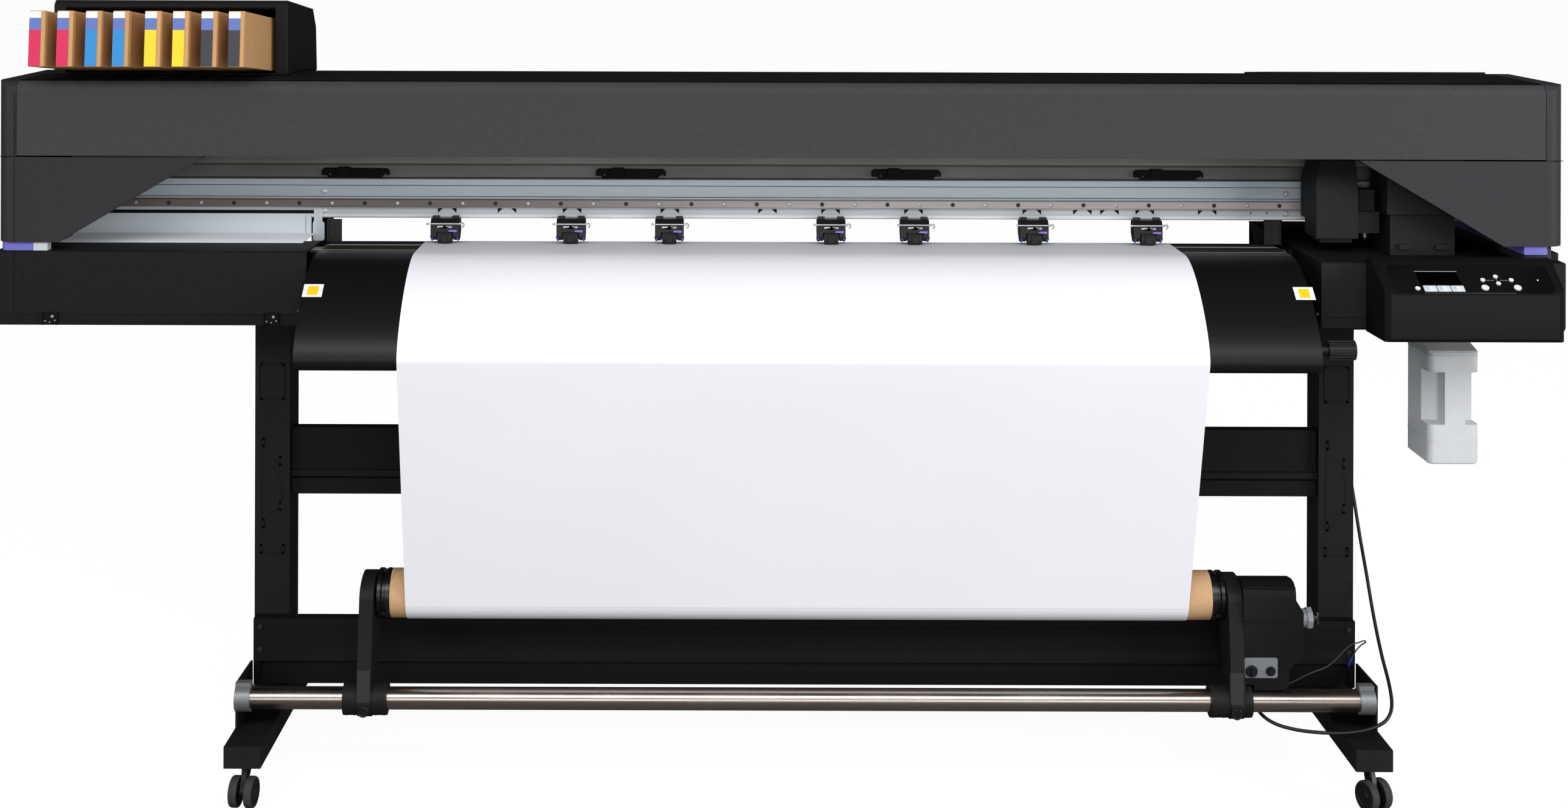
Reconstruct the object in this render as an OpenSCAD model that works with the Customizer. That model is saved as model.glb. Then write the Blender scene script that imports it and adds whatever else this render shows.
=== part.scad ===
/* [Body] */
// Width over the two side covers
body_w = 2748; // [2700:4:2800]
// Height of the top of the cover over the floor
body_top = 1228; // [1224:1:1232]
// Front plane of the upper covers
front_y = -206; // [-210:1:-202]
// Rear plane of the upper covers
rear_y = 323; // [315:1:330]
// Radius of the cover's top front edge
edge_r = 20; // [16:1:22]
// Thickness of the moulded covers
wall = 3; // [2.5:0.5:4]

/* [Media path] */
// Width of the loaded media
media_w = 1370; // [610:10:1620]
// Height of the platen's top face
platen_z = 919; // [917:0.5:921]
// Front of the apron, where the media bulges most
apron_front = -348; // [-350:1:-344]
// Outer radius of the cardboard core
core_r = 42; // [41:0.5:44]
// Inner radius of the cardboard core, a 3 inch core
core_bore_r = 38.1; // [38:0.1:38.5]
// Radius of the media still on the supply roll
supply_r = 72; // [55:1:80]

/* [Stand] */
// Diameter of the caster wheels
wheel_d = 52; // [46:1:54]
// Height of the feet's underside over the floor
foot_z = 73; // [72:1:76]
// Height of the foot channel
foot_h = 37; // [30:1:40]
// Width of the foot channel and of the legs
foot_w = 63; // [50:1:64]
// Radius of the take-up rail
rail_r = 19; // [17:0.5:20]

/* [Print bed] */
// Radius of the grit roller
grit_r = 12; // [10:0.5:12.5]
// Radius of the pinch rollers
pinch_r = 11; // [9:0.5:11]
// Radial clearance of every shaft in its bore
run_fit = 0.05; // [0.02:0.01:0.1]

/* [Hidden] */
$fn = 48;

// body planes
side_x = body_w / 2;
seam_x = side_x - 35;
band_z = 945;
cover_low = 1095;
hinge_y = front_y + edge_r;
hinge_z = body_top - edge_r;
slope_start = 71;
slope_drop = 16;

// stand
left_leg_x = -944;
right_leg_x = 973;
leg_front = -94;
leg_depth = 77;
leg_top = 790;
foot_front = -329;
foot_rear = 349;
foot_top = foot_z + foot_h;
foot_gauge = 3;
caster_front = -294;
caster_rear = 296;
caster_trail = 14;
caster_turn = [174, 202, -10, 15];
stem_r = 6;
axle_r = 4;
wheel_t = 15;

// take-up unit
rail_y = -252;
rail_z = 166;
rail_x0 = -939.5;
rail_x1 = 1023;
hub_y = -200;
hub_z = 332;
hub_shaft_r = 10;
core_x0 = -678;
core_x1 = 750;
arm_t = 24;
arm_r = 54;
motor_x0 = core_x1 + 2 * arm_t;
motor_front = -262;
motor_rear = -142;
switch_x = [812, 845];
switch_z = 220.5;
knob_y = rail_y + 12;
knob_z = 305;

// media and bed
media_x = 35;
media_t = 0.6;
media_gap = 0.3;
bed_x0 = -825;
bed_x1 = 910;
bed_front = -147;
bed_rear = -24;
apron_low = 748;
apron_turn = 20;
rear_low = 795;
rear_apron_y = 190;
supply_y = 250;
supply_z = 450;
grit_y = -38;
grit_z = platen_z - grit_r;
pinch_z = platen_z + 1.5 + pinch_r;
pivot_y = -17;
pivot_z = 958;
pinch_x = [-610, -380, -200, 96, 249, 467, 675];
grit_shaft_r = 6;
crank_y = -259;
crank_z = 773.5;

// bar, rail and carriage
bar_front = -9;
bar_low = 962;
bar_x0 = -1310;
bar_x1 = 1270;
guide_z0 = 983.5;
guide_z1 = 998;
guide_t = 12;
screw_pitch = 60;
carriage_x = 958;
carriage_w = 76;
cutter_x = 1040;
cutter_w = 40;
blade_y = -76;

// operator panel
panel_x0 = 1024;
panel_x1 = 1334;
panel_front = -312;
panel_low = 797;
panel_lip = 879;
panel_back_y = -231;
panel_back_z = 927;
panel_tilt = atan((panel_back_z - panel_lip) / (panel_back_y - panel_front));
face_x = 1182;
face_up = 36;

// ink unit
ink_x0 = -1320;
ink_x1 = -894;
ink_front = -59;
ink_rear = 217;
ink_top = 1364;
carton_w = 28;
carton_h = 97;
carton_l = 372;
carton_tilt = 5.5;
carton_front = -277;
carton_low = 1257;

// waste bottle
bottle_x = [1163, 1254];
bottle_y = [-118, 8];

// route of the cable from the base to the take-up motor
cable_r = 3;
cable_route = [
  [1010, 60, 789.7], [1011, 60, 750], [1020, 52, 690], [1035, 38, 620], [1048, 20, 550],
  [1057, -10, 477], [1059, -56, 395], [1058, -100, 340], [1057, -146, 280],
  [1057, -192, 228], [1058, -234, 188], [1054, -262, 162], [1042, -279, 146],
  [1024, -286, 136], [998, -288, 128], [962, -286, 123], [924, -281, 122],
  [888, -272, 123], [856, -260, 128], [836, -243, 137], [826, -226, 152],
  [823, -213, 168], [823, -208, 186.7]
];
// route of the thin earth wire from the motor unit to the lower beam
wire_r = 1.2;
wire_route = [
  [845, -196, 186.7], [846, -195, 174], [853, -191, 163], [868, -184, 160], [900, -179, 170],
  [937, -170, 184], [968, -161, 192], [987, -155, 203], [1004, -150, 218],
  [1018, -146, 227], [1033, -142, 230], [1043, -139, 232], [1046, -136, 228],
  [1039, -133, 222], [1031, -131, 212], [1025, -129, 200], [1021, -127, 190],
  [1019, -124, 182], [1019, -122.3, 176]
];

// ---------- shape helpers ----------

// points on an arc of a Y-Z outline
function arc(cy, cz, r, a0, a1, n) =
  [for (i = [0:n]) let (a = a0 + (a1 - a0) * i / n) [cy + r * cos(a), cz + r * sin(a)]];

// point on a cubic curve
function cubic(p, t) =
  pow(1 - t, 3) * p[0] + 3 * t * pow(1 - t, 2) * p[1] + 3 * t * t * (1 - t) * p[2] + pow(t, 3) * p[3];

function unit(v) = v / norm(v);

// direction of a polyline at point i
function along(p, i) = unit(p[min(i + 1, len(p) - 1)] - p[max(i - 1, 0)]);

// polyline moved sideways, to the left of its direction
function beside(p, d) =
  [for (i = [0:len(p) - 1]) let (u = along(p, i)) p[i] + d * [-u[1], u[0]]];

function backwards(p) = [for (i = [len(p) - 1:-1:0]) p[i]];

module box(x, y, z) {
  translate([x[0], y[0], z[0]]) cube([x[1] - x[0], y[1] - y[0], z[1] - z[0]]);
}

// Y-Z outline carried along X
module along_x(x0, x1) {
  translate([x0, 0, 0]) rotate([90, 0, 90]) linear_extrude(height = x1 - x0) children();
}

// X-Z outline carried along Y
module along_y(y0, y1) {
  translate([0, y1, 0]) rotate([90, 0, 0]) linear_extrude(height = y1 - y0) children();
}

module rod_x(x0, x1, y, z, r) {
  translate([x0, y, z]) rotate([0, 90, 0]) cylinder(h = x1 - x0, r = r);
}

module rod_y(y0, y1, x, z, r) {
  translate([x, y1, z]) rotate([90, 0, 0]) cylinder(h = y1 - y0, r = r);
}

module rounded(w, h, r) {
  square([w - 2 * r, h], center = true);
  square([w, h - 2 * r], center = true);
  for (sx = [-1, 1], sy = [-1, 1]) {
    translate([sx * (w / 2 - r), sy * (h / 2 - r)]) circle(r = r);
  }
}

// sheet of thickness t on the left of a polyline
module sheet_outline(p, t) {
  polygon(concat(p, backwards(beside(p, t))));
}

// round tube along a route: a ring of corners at each point, square to the route
function ring(p, i, r, n) =
  let (d = along(p, i), a = unit(cross(d, [0.31, 0.2, 0.93])), b = cross(d, a))
  [for (k = [0:n - 1]) p[i] + r * (cos(360 * k / n) * a + sin(360 * k / n) * b)];

module tube(p, r, n) {
  corners = [for (i = [0:len(p) - 1]) each ring(p, i, r, n)];
  sides = [for (i = [0:len(p) - 2], k = [0:n - 1])
    let (a = i * n + k, b = i * n + (k + 1) % n) [a, b, b + n, a + n]];
  first = [for (k = [n - 1:-1:0]) k];
  last = [for (k = [0:n - 1]) (len(p) - 1) * n + k];
  polyhedron(points = corners, faces = concat(sides, [first, last]), convexity = 8);
}

// smooth curve through the points of a route, three rings to each stretch
function spline(p, i, t) =
  let (a = p[max(i - 1, 0)], b = p[i], c = p[i + 1], d = p[min(i + 2, len(p) - 1)])
  0.5 * (2 * b + (c - a) * t + (2 * a - 5 * b + 4 * c - d) * t * t + (3 * b - a - 3 * c + d) * t * t * t);

function smooth(p, n) =
  concat([for (i = [0:len(p) - 2], k = [0:n - 1]) spline(p, i, k / n)], [p[len(p) - 1]]);

// ---------- outlines of the media path ----------

// top of the apron from the platen to its lower turn
apron_curve = [
  [bed_front, platen_z], [bed_front - 90, platen_z],
  [apron_front, apron_low + apron_turn + 45], [apron_front, apron_low + apron_turn]
];
apron_top = [for (i = [0:14]) cubic(apron_curve, i / 14)];
apron_line = concat(
  apron_top,
  [for (a = [195:15:270])
    [apron_front + apron_turn * (1 + cos(a)), apron_low + apron_turn * (1 + sin(a))]],
  [[apron_front + 90, apron_low + 4]]
);
rear_curve = [
  [bed_rear, platen_z], [bed_rear + 70, platen_z], [rear_apron_y, platen_z - 40], [rear_apron_y, rear_low]
];
rear_line = [for (i = [0:12]) cubic(rear_curve, i / 12)];

// where the hanging web meets the wound media
wrap_r = core_r + 1.6;
web_end = [hub_y - wrap_r * 0.966, hub_z - wrap_r * 0.259];
supply_end = [supply_y - supply_r - 0.8, supply_z + 6];
web_line = concat(
  [supply_end],
  backwards(rear_line),
  [[bed_front + 1, platen_z]],
  [for (i = [1:14]) apron_top[i]],
  [for (a = [187, 193]) [apron_front + apron_turn * (1 + cos(a)), apron_low + apron_turn * (1 + sin(a))]],
  [web_end]
);

// ---------- stand ----------

module foot(x) {
  color([0.1, 0.1, 0.1])
  difference() {
    union() {
      box([x, x + foot_w], [foot_front, foot_rear], [foot_z, foot_top]);
      // welded cheek that carries the take-up rail
      along_x(x < 0 ? x : x + foot_w - 4, x < 0 ? x + 4 : x + foot_w)
        polygon([[-123, foot_top - 1], [-243, foot_top - 1], [-243, 188], [-123, 186]]);
    }
    // folded channel, open below between the caster plates
    box([x + foot_gauge, x + foot_w - foot_gauge], [foot_front + 70, foot_rear - 84],
      [foot_z - 1, foot_top - foot_gauge]);
    for (y = [foot_front + foot_gauge, foot_rear - 84 + foot_gauge]) {
      box([x + foot_gauge, x + foot_w - foot_gauge], [y, y + 70 - 2 * foot_gauge + 10],
        [foot_z + 5, foot_top - foot_gauge]);
    }
    for (y = [caster_front, caster_rear]) {
      translate([x + foot_w / 2, y, foot_z - 1]) cylinder(h = 8, r = stem_r + run_fit);
    }
  }
}

module left_foot() {
  foot(left_leg_x);
}

module right_foot() {
  foot(right_leg_x);
}

// heights of the hole pairs in the leg's face
outer_rows = [709, 647, 383, 369];
left_rows = [575, 562, 429, 415];
right_rows = [542, 528, 461, 447];

module leg(x) {
  mid = x + foot_w / 2;
  color([0.11, 0.11, 0.11])
  difference() {
    box([x, x + foot_w], [leg_front, leg_front + leg_depth], [foot_top, leg_top]);
    box([x + 3, x + foot_w - 3], [leg_front + 3, leg_front + leg_depth - 12], [foot_top - 1, leg_top + 1]);
    box([x + 14, x + foot_w - 14], [leg_front + 30, leg_front + leg_depth + 1], [foot_top + 30, leg_top - 30]);
    for (z = outer_rows, dx = [-20, 20]) {
      rod_y(leg_front - 1, leg_front + 4, mid + dx, z, 2.5);
    }
    for (z = left_rows) {
      rod_y(leg_front - 1, leg_front + 4, mid - 16, z, 2.5);
    }
    for (z = right_rows) {
      rod_y(leg_front - 1, leg_front + 4, mid + 14, z, 2.5);
    }
  }
}

module left_leg() {
  leg(left_leg_x);
}

module right_leg() {
  leg(right_leg_x);
}

module middle_beam() {
  z0 = 472;
  z1 = 592;
  color([0.1, 0.1, 0.1])
  along_x(left_leg_x + foot_w, right_leg_x) polygon([
    [-78, z0], [-78, z0 + 29], [-84, z0 + 33], [-84, z0 + 43], [-78, z0 + 47], [-78, z1],
    [-50, z1], [-50, z1 - 3], [-75, z1 - 3], [-75, z0 + 3], [-50, z0 + 3], [-50, z0]
  ]);
}

module lower_beam() {
  z0 = 141;
  z1 = 260;
  y1 = leg_front - 0.3;
  color([0.09, 0.09, 0.09])
  difference() {
    along_x(left_leg_x + 4.3, right_leg_x + foot_w - 4.3) polygon([
      [-122, 190], [-122, z1], [y1, z1], [y1, z1 - 3], [-119, z1 - 3], [-119, 190],
      [-112, 187], [-109, 180], [-109, z0 + 3], [y1, z0 + 3], [y1, z0], [-112, z0], [-112, 180], [-122, 184]
    ]);
    for (x = [left_leg_x + 16, right_leg_x + foot_w - 16], z = [205, 245]) {
      rod_y(-123, -118, x, z, 3);
    }
  }
}

caster_at = [
  [left_leg_x + foot_w / 2, caster_front], [right_leg_x + foot_w / 2, caster_front],
  [left_leg_x + foot_w / 2, caster_rear], [right_leg_x + foot_w / 2, caster_rear]
];

module caster_fork(i) {
  c = caster_at[i];
  hood_r = wheel_d / 2 + 3;
  color([0.08, 0.08, 0.08])
  translate([c[0], c[1], 0]) rotate([0, 0, caster_turn[i]])
  difference() {
    union() {
      translate([0, 0, foot_z - 6]) cylinder(h = 12, r = stem_r);
      translate([0, 0, foot_z - 5]) cylinder(h = 4.5, r = 19);
      // web between the wheels
      along_x(-5, 5) union() {
        translate([caster_trail, wheel_d / 2]) circle(r = 11);
        polygon([[-12, foot_z - 5], [12, foot_z - 5], [caster_trail + 11, wheel_d / 2],
          [caster_trail - 11, wheel_d / 2]]);
      }
      // hood over the back of the wheels
      along_x(-18, 18) difference() {
        translate([caster_trail, wheel_d / 2]) circle(r = hood_r + 7);
        translate([caster_trail, wheel_d / 2]) circle(r = hood_r);
        translate([-60, -60]) square([120, 60 + wheel_d / 2 + 12]);
        translate([-60, foot_z - 5]) square([120, 60]);
        translate([-60, -60]) square([60 - 14, 160]);
      }
    }
    rod_x(-30, 30, caster_trail, wheel_d / 2, axle_r + run_fit);
  }
}

module caster_wheels(i) {
  c = caster_at[i];
  color([0.06, 0.06, 0.06])
  translate([c[0], c[1], wheel_d / 2]) rotate([0, 0, caster_turn[i]]) translate([0, caster_trail, 0])
  union() {
    rod_x(-20, 20, 0, 0, axle_r);
    for (s = [-1, 1]) {
      rotate([0, 90 * s, 0]) translate([0, 0, 6]) rotate_extrude() polygon([
        [axle_r - 1, 0], [wheel_d / 2 - 2, 0], [wheel_d / 2, 2], [wheel_d / 2, wheel_t - 3],
        [wheel_d / 2 - 3, wheel_t], [18, wheel_t], [16, wheel_t - 3], [8, wheel_t - 3], [7, wheel_t + 1],
        [axle_r - 1, wheel_t + 1]
      ]);
    }
  }
}

// ---------- take-up unit ----------

module take_up_rail() {
  color([0.62, 0.6, 0.58])
  difference() {
    rod_x(rail_x0, rail_x1, rail_y, rail_z, rail_r);
    rod_x(rail_x0 - 1, rail_x1 + 1, rail_y, rail_z, rail_r - 2);
  }
}

module rail_clamps() {
  clamp_w = 26;
  right_x = 998.5;
  color([0.6, 0.61, 0.61])
  for (x = [left_leg_x + 4.4, right_x]) {
    difference() {
      union() {
        // spacer between the right-hand clamp and its cheek
        if (x == right_x) {
          rod_x(x + clamp_w - 1, right_leg_x + foot_w - 4.3, rail_y + 20, rail_z, 6);
        }
        rod_x(x, x + clamp_w, rail_y, rail_z, rail_r + 4);
        box([x, x + clamp_w], [rail_y - 8, rail_y + 8], [rail_z + rail_r, rail_z + rail_r + 9]);
        box([x, x + clamp_w], [rail_y + 12, rail_y + 26], [rail_z - 24, rail_z + 12]);
      }
      rod_x(x - 1, x + clamp_w + 1, rail_y, rail_z, rail_r + run_fit);
    }
  }
}

// arm in the Y-Z plane, from the rail's collar up to the hub's bearing
module arm_outline() {
  translate([hub_y, hub_z]) difference() {
    circle(r = arm_r);
    translate([-arm_r - 1, 1]) square([2 * arm_r + 2, arm_r]);
  }
  // flat crown
  translate([hub_y, hub_z]) polygon([for (a = [0:10:180]) [arm_r * cos(a), 37.5 * sin(a)]]);
  translate([rail_y, rail_z]) circle(r = rail_r + 11);
  polygon([
    [hub_y - arm_r, hub_z], [rail_y - rail_r - 11, rail_z], [rail_y + 32, rail_z - 4],
    [hub_y + 16, hub_z - 50]
  ]);
}

module arm(x, collar) {
  difference() {
    union() {
      along_x(x, x + arm_t) arm_outline();
      rod_x(collar[0], collar[1], rail_y, rail_z, rail_r + 9);
    }
    rod_x(collar[0] - 1, collar[1] + 1, rail_y, rail_z, rail_r + run_fit);
    rod_x(x - 1, x + arm_t + 1, hub_y, hub_z, hub_shaft_r + run_fit);
  }
}

module left_arm() {
  color([0.13, 0.13, 0.13])
  arm(core_x0 - 2 * arm_t - 2, [-753, -678]);
}

module right_arm() {
  color([0.13, 0.13, 0.13])
  arm(core_x1 + arm_t, [741, 812]);
}

// flange, ribbed barrel and plug, pointing along +X into the core
module hub() {
  rotate([0, 90, 0]) union() {
    rotate_extrude() polygon([
      [0, -arm_t - 1], [hub_shaft_r, -arm_t - 1], [hub_shaft_r, 0.5], [41, 0.5], [42.5, 2], [42.5, 8],
      [38.5, 10], [38.5, 15], [42.5, 16], [42.5, 20], [41.5, arm_t - 0.3],
      [core_bore_r - 0.05, arm_t - 0.3],
      [core_bore_r - 0.05, arm_t + 30], [34, arm_t + 36], [0, arm_t + 36]
    ]);
    for (a = [0:45:315]) {
      rotate([0, 0, a]) translate([36, -1.5, 7]) cube([6, 3, 10]);
    }
  }
}

module left_hub() {
  color([0.08, 0.08, 0.08])
  translate([core_x0 - arm_t, hub_y, hub_z]) hub();
}

module right_hub() {
  color([0.08, 0.08, 0.08])
  translate([core_x1 + arm_t, hub_y, hub_z]) mirror([1, 0, 0]) hub();
}

module take_up_core() {
  color([0.74, 0.58, 0.4])
  difference() {
    rod_x(core_x0, core_x1, hub_y, hub_z, core_r);
    rod_x(core_x0 - 1, core_x1 + 1, hub_y, hub_z, core_bore_r);
  }
}

motor_outline = [
  [0, 187], [71, 187], [79, 195], [79, 223], [104, 244], [104, 321], [91, 342], [91, 378], [84, 385], [0, 385]
];

// the same cover seen from its side
motor_side = [
  [motor_front, 180], [motor_front, 350], [-256, 362], [-244, 369], [-225, 370], [-200, 366],
  [motor_rear, 345], [motor_rear, 180]
];

module motor_cover() {
  color([0.12, 0.12, 0.12])
  difference() {
    intersection() {
      translate([motor_x0, 0, 0]) along_y(motor_front, motor_rear) polygon(motor_outline);
      along_x(motor_x0 - 1, motor_x0 + 110) polygon(motor_side);
    }
    intersection() {
      translate([motor_x0 + 3, 0, 0]) along_y(motor_front + 3, motor_rear - 3) polygon([
        [0, 190], [69, 190], [75, 197], [75, 226], [98, 247], [98, 318], [85, 339], [85, 376], [0, 376]
      ]);
      along_x(motor_x0 + 2, motor_x0 + 110) polygon([
        [motor_front + 2, 180], [motor_front + 2, 348], [-253, 359], [-243, 365.5], [-225, 366.5],
        [-200, 362.5], [motor_rear - 2, 342], [motor_rear - 2, 180]
      ]);
    }
    rod_x(motor_x0 - 1, motor_x0 + 5, hub_y, hub_z, hub_shaft_r + 1);
    rod_x(motor_x0 + 90, motor_x0 + 106, knob_y, knob_z, 6 + run_fit);
    for (x = switch_x) {
      rod_y(motor_front - 1, motor_front + 4, x, switch_z, 6 + run_fit);
    }
    box([motor_x0 - 1, motor_x0 + 18], [rail_y - 30, rail_y + 30.3], [180, rail_z + 30.3]);
  }
}

module torque_knob() {
  x = motor_x0 + 104;
  color([0.45, 0.46, 0.47])
  translate([x, knob_y, knob_z]) rotate([0, 90, 0]) union() {
    translate([0, 0, -12]) cylinder(h = 14, r = 6);
    translate([0, 0, 0.5]) cylinder(h = 9, r = 16);
    translate([0, 0, 9]) linear_extrude(height = 9) circle(r = 19, $fn = 8);
    translate([0, 0, 17]) cylinder(h = 10, r = 9);
    translate([-9, -2.5, 25]) cube([18, 5, 5]);
  }
}

module direction_toggle() {
  color([0.05, 0.05, 0.05])
  union() {
    rod_y(motor_front - 2, motor_front + 9, switch_x[0], switch_z, 6);
    rod_y(motor_front - 6, motor_front - 1.5, switch_x[0], switch_z, 9);
    box([switch_x[0] - 2, switch_x[0] + 2], [motor_front - 12, motor_front - 5.5],
      [switch_z - 7, switch_z + 7]);
  }
}

module power_button() {
  color([0.05, 0.05, 0.05])
  union() {
    rod_y(motor_front - 5, motor_front + 7, switch_x[1], switch_z, 6);
    rod_y(motor_front + 6, motor_front + 9, switch_x[1], switch_z, 8);
  }
}

module take_up_cable() {
  color([0.07, 0.07, 0.07])
  tube(smooth(cable_route, 2), cable_r, 8);
}

module ground_wire() {
  color([0.25, 0.25, 0.25])
  tube(smooth(wire_route, 1), wire_r, 8);
}

// ---------- media ----------

module media_web() {
  x0 = media_x - media_w / 2;
  color([0.97, 0.97, 0.98])
  along_x(x0, x0 + media_w)
    polygon(concat(beside(web_line, -media_gap), backwards(beside(web_line, -media_gap - media_t))));
}

module supply_bracket(x, s) {
  difference() {
    along_x(s > 0 ? x : x - 8, s > 0 ? x + 8 : x) union() {
      polygon([[leg_front + leg_depth, 465], [leg_front + leg_depth, 520], [supply_y, supply_z + 34],
        [supply_y, supply_z - 34]]);
      translate([supply_y, supply_z]) circle(r = 34);
    }
    for (y = [40, 110, 180]) {
      rod_x(x - 20, x + 20, y, 489 - 0.16 * y, 14);
    }
  }
  // fixed journal that the core turns on
  rod_x(s > 0 ? x + 7 : x - 190, s > 0 ? x + 190 : x - 7, supply_y, supply_z, 12);
  rod_x(s > 0 ? x + 190 : x - 250, s > 0 ? x + 250 : x - 190, supply_y, supply_z, core_bore_r - 0.05);
}

module supply_brackets() {
  color([0.12, 0.12, 0.12])
  union() {
    supply_bracket(left_leg_x + foot_w - 8, 1);
    supply_bracket(right_leg_x + 8, -1);
  }
}

module supply_roll() {
  x0 = media_x - media_w / 2;
  color([0.93, 0.93, 0.92])
  difference() {
    union() {
      rod_x(x0 - 30, x0 + media_w + 40, supply_y, supply_z, core_r);
      rod_x(x0, x0 + media_w, supply_y, supply_z, supply_r - 0.6);
    }
    rod_x(x0 - 31, x0 + media_w + 41, supply_y, supply_z, core_bore_r);
  }
}

// ---------- print bed ----------

module aprons() {
  color([0.1, 0.1, 0.1])
  union() {
    along_x(bed_x0, bed_x1) sheet_outline(apron_line, 2.5);
    along_x(bed_x0, bed_x1) sheet_outline(backwards(rear_line), 2.5);
  }
}

module platen() {
  t = 12;
  y0 = bed_front + 0.4;
  y1 = grit_y - grit_r - 1;
  color([0.3, 0.31, 0.32])
  along_x(bed_x0, bed_x1) polygon([
    [y0, platen_z - 3], [y0 + 0.01, platen_z], [y1, platen_z], [y1, platen_z - t],
    [y0 + 8, platen_z - t], [y0 + 8, platen_z - 3]
  ]);
}

module grit_roller() {
  color([0.55, 0.56, 0.57])
  union() {
    rod_x(-864, 933, grit_y, grit_z, grit_shaft_r);
    for (x = pinch_x) {
      rod_x(x - 33, x + 33, grit_y, grit_z, grit_r);
    }
    rod_x(bed_x0 + 4, bed_x1 - 4, grit_y, grit_z, grit_r - 0.8);
  }
}

bearing_outline = [
  [-70, 800], [-70, 916], [2, 916], [2, bar_low - 0.3], [86, bar_low - 0.3],
  [120, bar_low - 20], [120, 905], [230, 880], [230, 800]
];
bracket_outline = [
  [-80, 800], [-80, 906], [bed_front - 6, 906], [-232, 882], [-296, 828], [-334, 775], [-334, 758], [-230, 756]
];

module chassis() {
  color([0.13, 0.13, 0.13])
  difference() {
    union() {
      box([-1330, 1330], [-94, -34], [leg_top, 822]);
      box([-1330, 1330], [200, 260], [leg_top, 822]);
      // trays under the two ends
      box([-1330, -862], [-35, 201], [leg_top, leg_top + 3]);
      box([931, 1330], [-35, 201], [leg_top, leg_top + 3]);
      for (x = [-1330, 1326]) {
        box([x, x + 4], [-94, 260], [leg_top, 905]);
      }
      for (x = [-862, 925]) {
        along_x(x, x + 6) polygon(bearing_outline);
      }
      for (x = [bed_x0 - 4, bed_x1]) {
        along_x(x, x + 4) polygon(bracket_outline);
      }
      for (x = [-600, 0, 600]) {
        along_x(x - 2, x + 2) polygon([
          [-90, 800], [-90, platen_z - 12], [30, platen_z - 12], [60, 900], [100, 887], [130, 873],
          [160, 849], [176, 828], [183, 800]
        ]);
      }
    }
    rod_x(-870, 940, grit_y, grit_z, grit_shaft_r + run_fit);
    for (x = [-600, 0, 600]) {
      rod_x(x - 3, x + 3, grit_y, grit_z, grit_r + 1);
    }
    rod_x(bed_x1 - 1, bed_x1 + 5, crank_y, crank_z, 6 + run_fit);
  }
}

module hand_knob() {
  color([0.09, 0.09, 0.09])
  translate([bed_x1, crank_y, crank_z]) rotate([0, 90, 0]) union() {
    translate([0, 0, -12]) cylinder(h = 50, r = 6);
    translate([0, 0, 5]) cylinder(h = 28, r = 10);
    translate([0, 0, 32]) linear_extrude(height = 47) difference() {
      circle(r = 17);
      for (a = [0:20:340]) {
        rotate(a) translate([17.4, 0]) circle(r = 1.7, $fn = 12);
      }
    }
  }
}

module y_bar() {
  color([0.6, 0.64, 0.67])
  along_x(bar_x0, bar_x1) difference() {
    polygon([
      [bar_front, bar_low + 7], [bar_front, 1034], [bar_front + 14, 1036], [bar_front + 14, 1058],
      [bar_front + 22, 1062], [bar_front + 22, 1082], [bar_front + 40, 1096], [90, 1096],
      [90, bar_low], [bar_front + 4, bar_low], [bar_front + 1, bar_low + 2]
    ]);
    polygon([[4, bar_low + 5], [4, 1026], [26, 1078], [40, 1090], [84, 1090], [84, bar_low + 5]]);
  }
}

module linear_rail() {
  n = floor((bar_x1 - bar_x0 - 120) / screw_pitch);
  color([0.5, 0.48, 0.46])
  difference() {
    along_x(bar_x0 + 20, bar_x1 - 20) polygon([
      [bar_front - 12, guide_z0 + 1], [bar_front - 12, guide_z1 - 1], [bar_front - 11, guide_z1],
      [bar_front, guide_z1], [bar_front, guide_z0], [bar_front - 11, guide_z0]
    ]);
    for (i = [0:n]) {
      rod_y(bar_front - 13, bar_front - 7, bar_x0 + 70 + i * screw_pitch, (guide_z0 + guide_z1) / 2, 3.8);
    }
  }
}

module pinch_arms() {
  color([0.08, 0.08, 0.09])
  for (x = pinch_x) {
    difference() {
      union() {
        along_x(x - 26, x + 26) polygon([
          [-44, 934], [-44, 956], [-36, 965], [pivot_y, 965], [-10, pivot_z], [-10, 940],
          [-24, 926], [-36, 926]
        ]);
        rod_x(x - 26, x + 26, pivot_y, pivot_z, 7);
      }
      // fork for the roller
      rod_x(x - 15, x + 15, grit_y, pinch_z, pinch_r + 1.2);
      box([x - 15, x + 15], [-50, -24], [900, 932]);
      box([x - 15, x + 15], [-50, grit_y], [900, 940]);
      rod_x(x - 27, x + 27, grit_y, pinch_z, 2.5 + run_fit);
    }
  }
}

module pinch_rollers() {
  color([0.07, 0.07, 0.08])
  for (x = pinch_x) {
    union() {
      rod_x(x - 13, x + 13, grit_y, pinch_z, pinch_r);
      rod_x(x - 27, x + 27, grit_y, pinch_z, 2.5);
    }
  }
}

// ---------- carriage and cutter ----------

// shoe that runs on the linear rail
module guide_shoe(x0, x1) {
  difference() {
    box([x0, x1], [bar_front - 20, bar_front - 0.7], [guide_z0 - 8, guide_z1 + 8]);
    box([x0 - 1, x1 + 1], [bar_front - guide_t - run_fit, bar_front], [guide_z0 - run_fit, guide_z1 + run_fit]);
  }
}

module print_carriage() {
  x1 = carriage_x + carriage_w;
  color([0.16, 0.16, 0.17])
  union() {
    guide_shoe(carriage_x + 6, x1 - 6);
    difference() {
      along_x(carriage_x, x1) polygon([
        [-128, 946], [-128, 1031], [-110, 1085], [-24, 1085], [-24, 974], [-52, 974], [-52, 946]
      ]);
      // sloping left shoulder
      along_y(-140, 0) polygon([[carriage_x - 1, 1040], [carriage_x - 1, 1090], [carriage_x + 12, 1090]]);
    }
    // nozzle plate
    box([carriage_x + 10, x1 - 8], [-116, -60], [938, 947]);
  }
}

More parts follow.
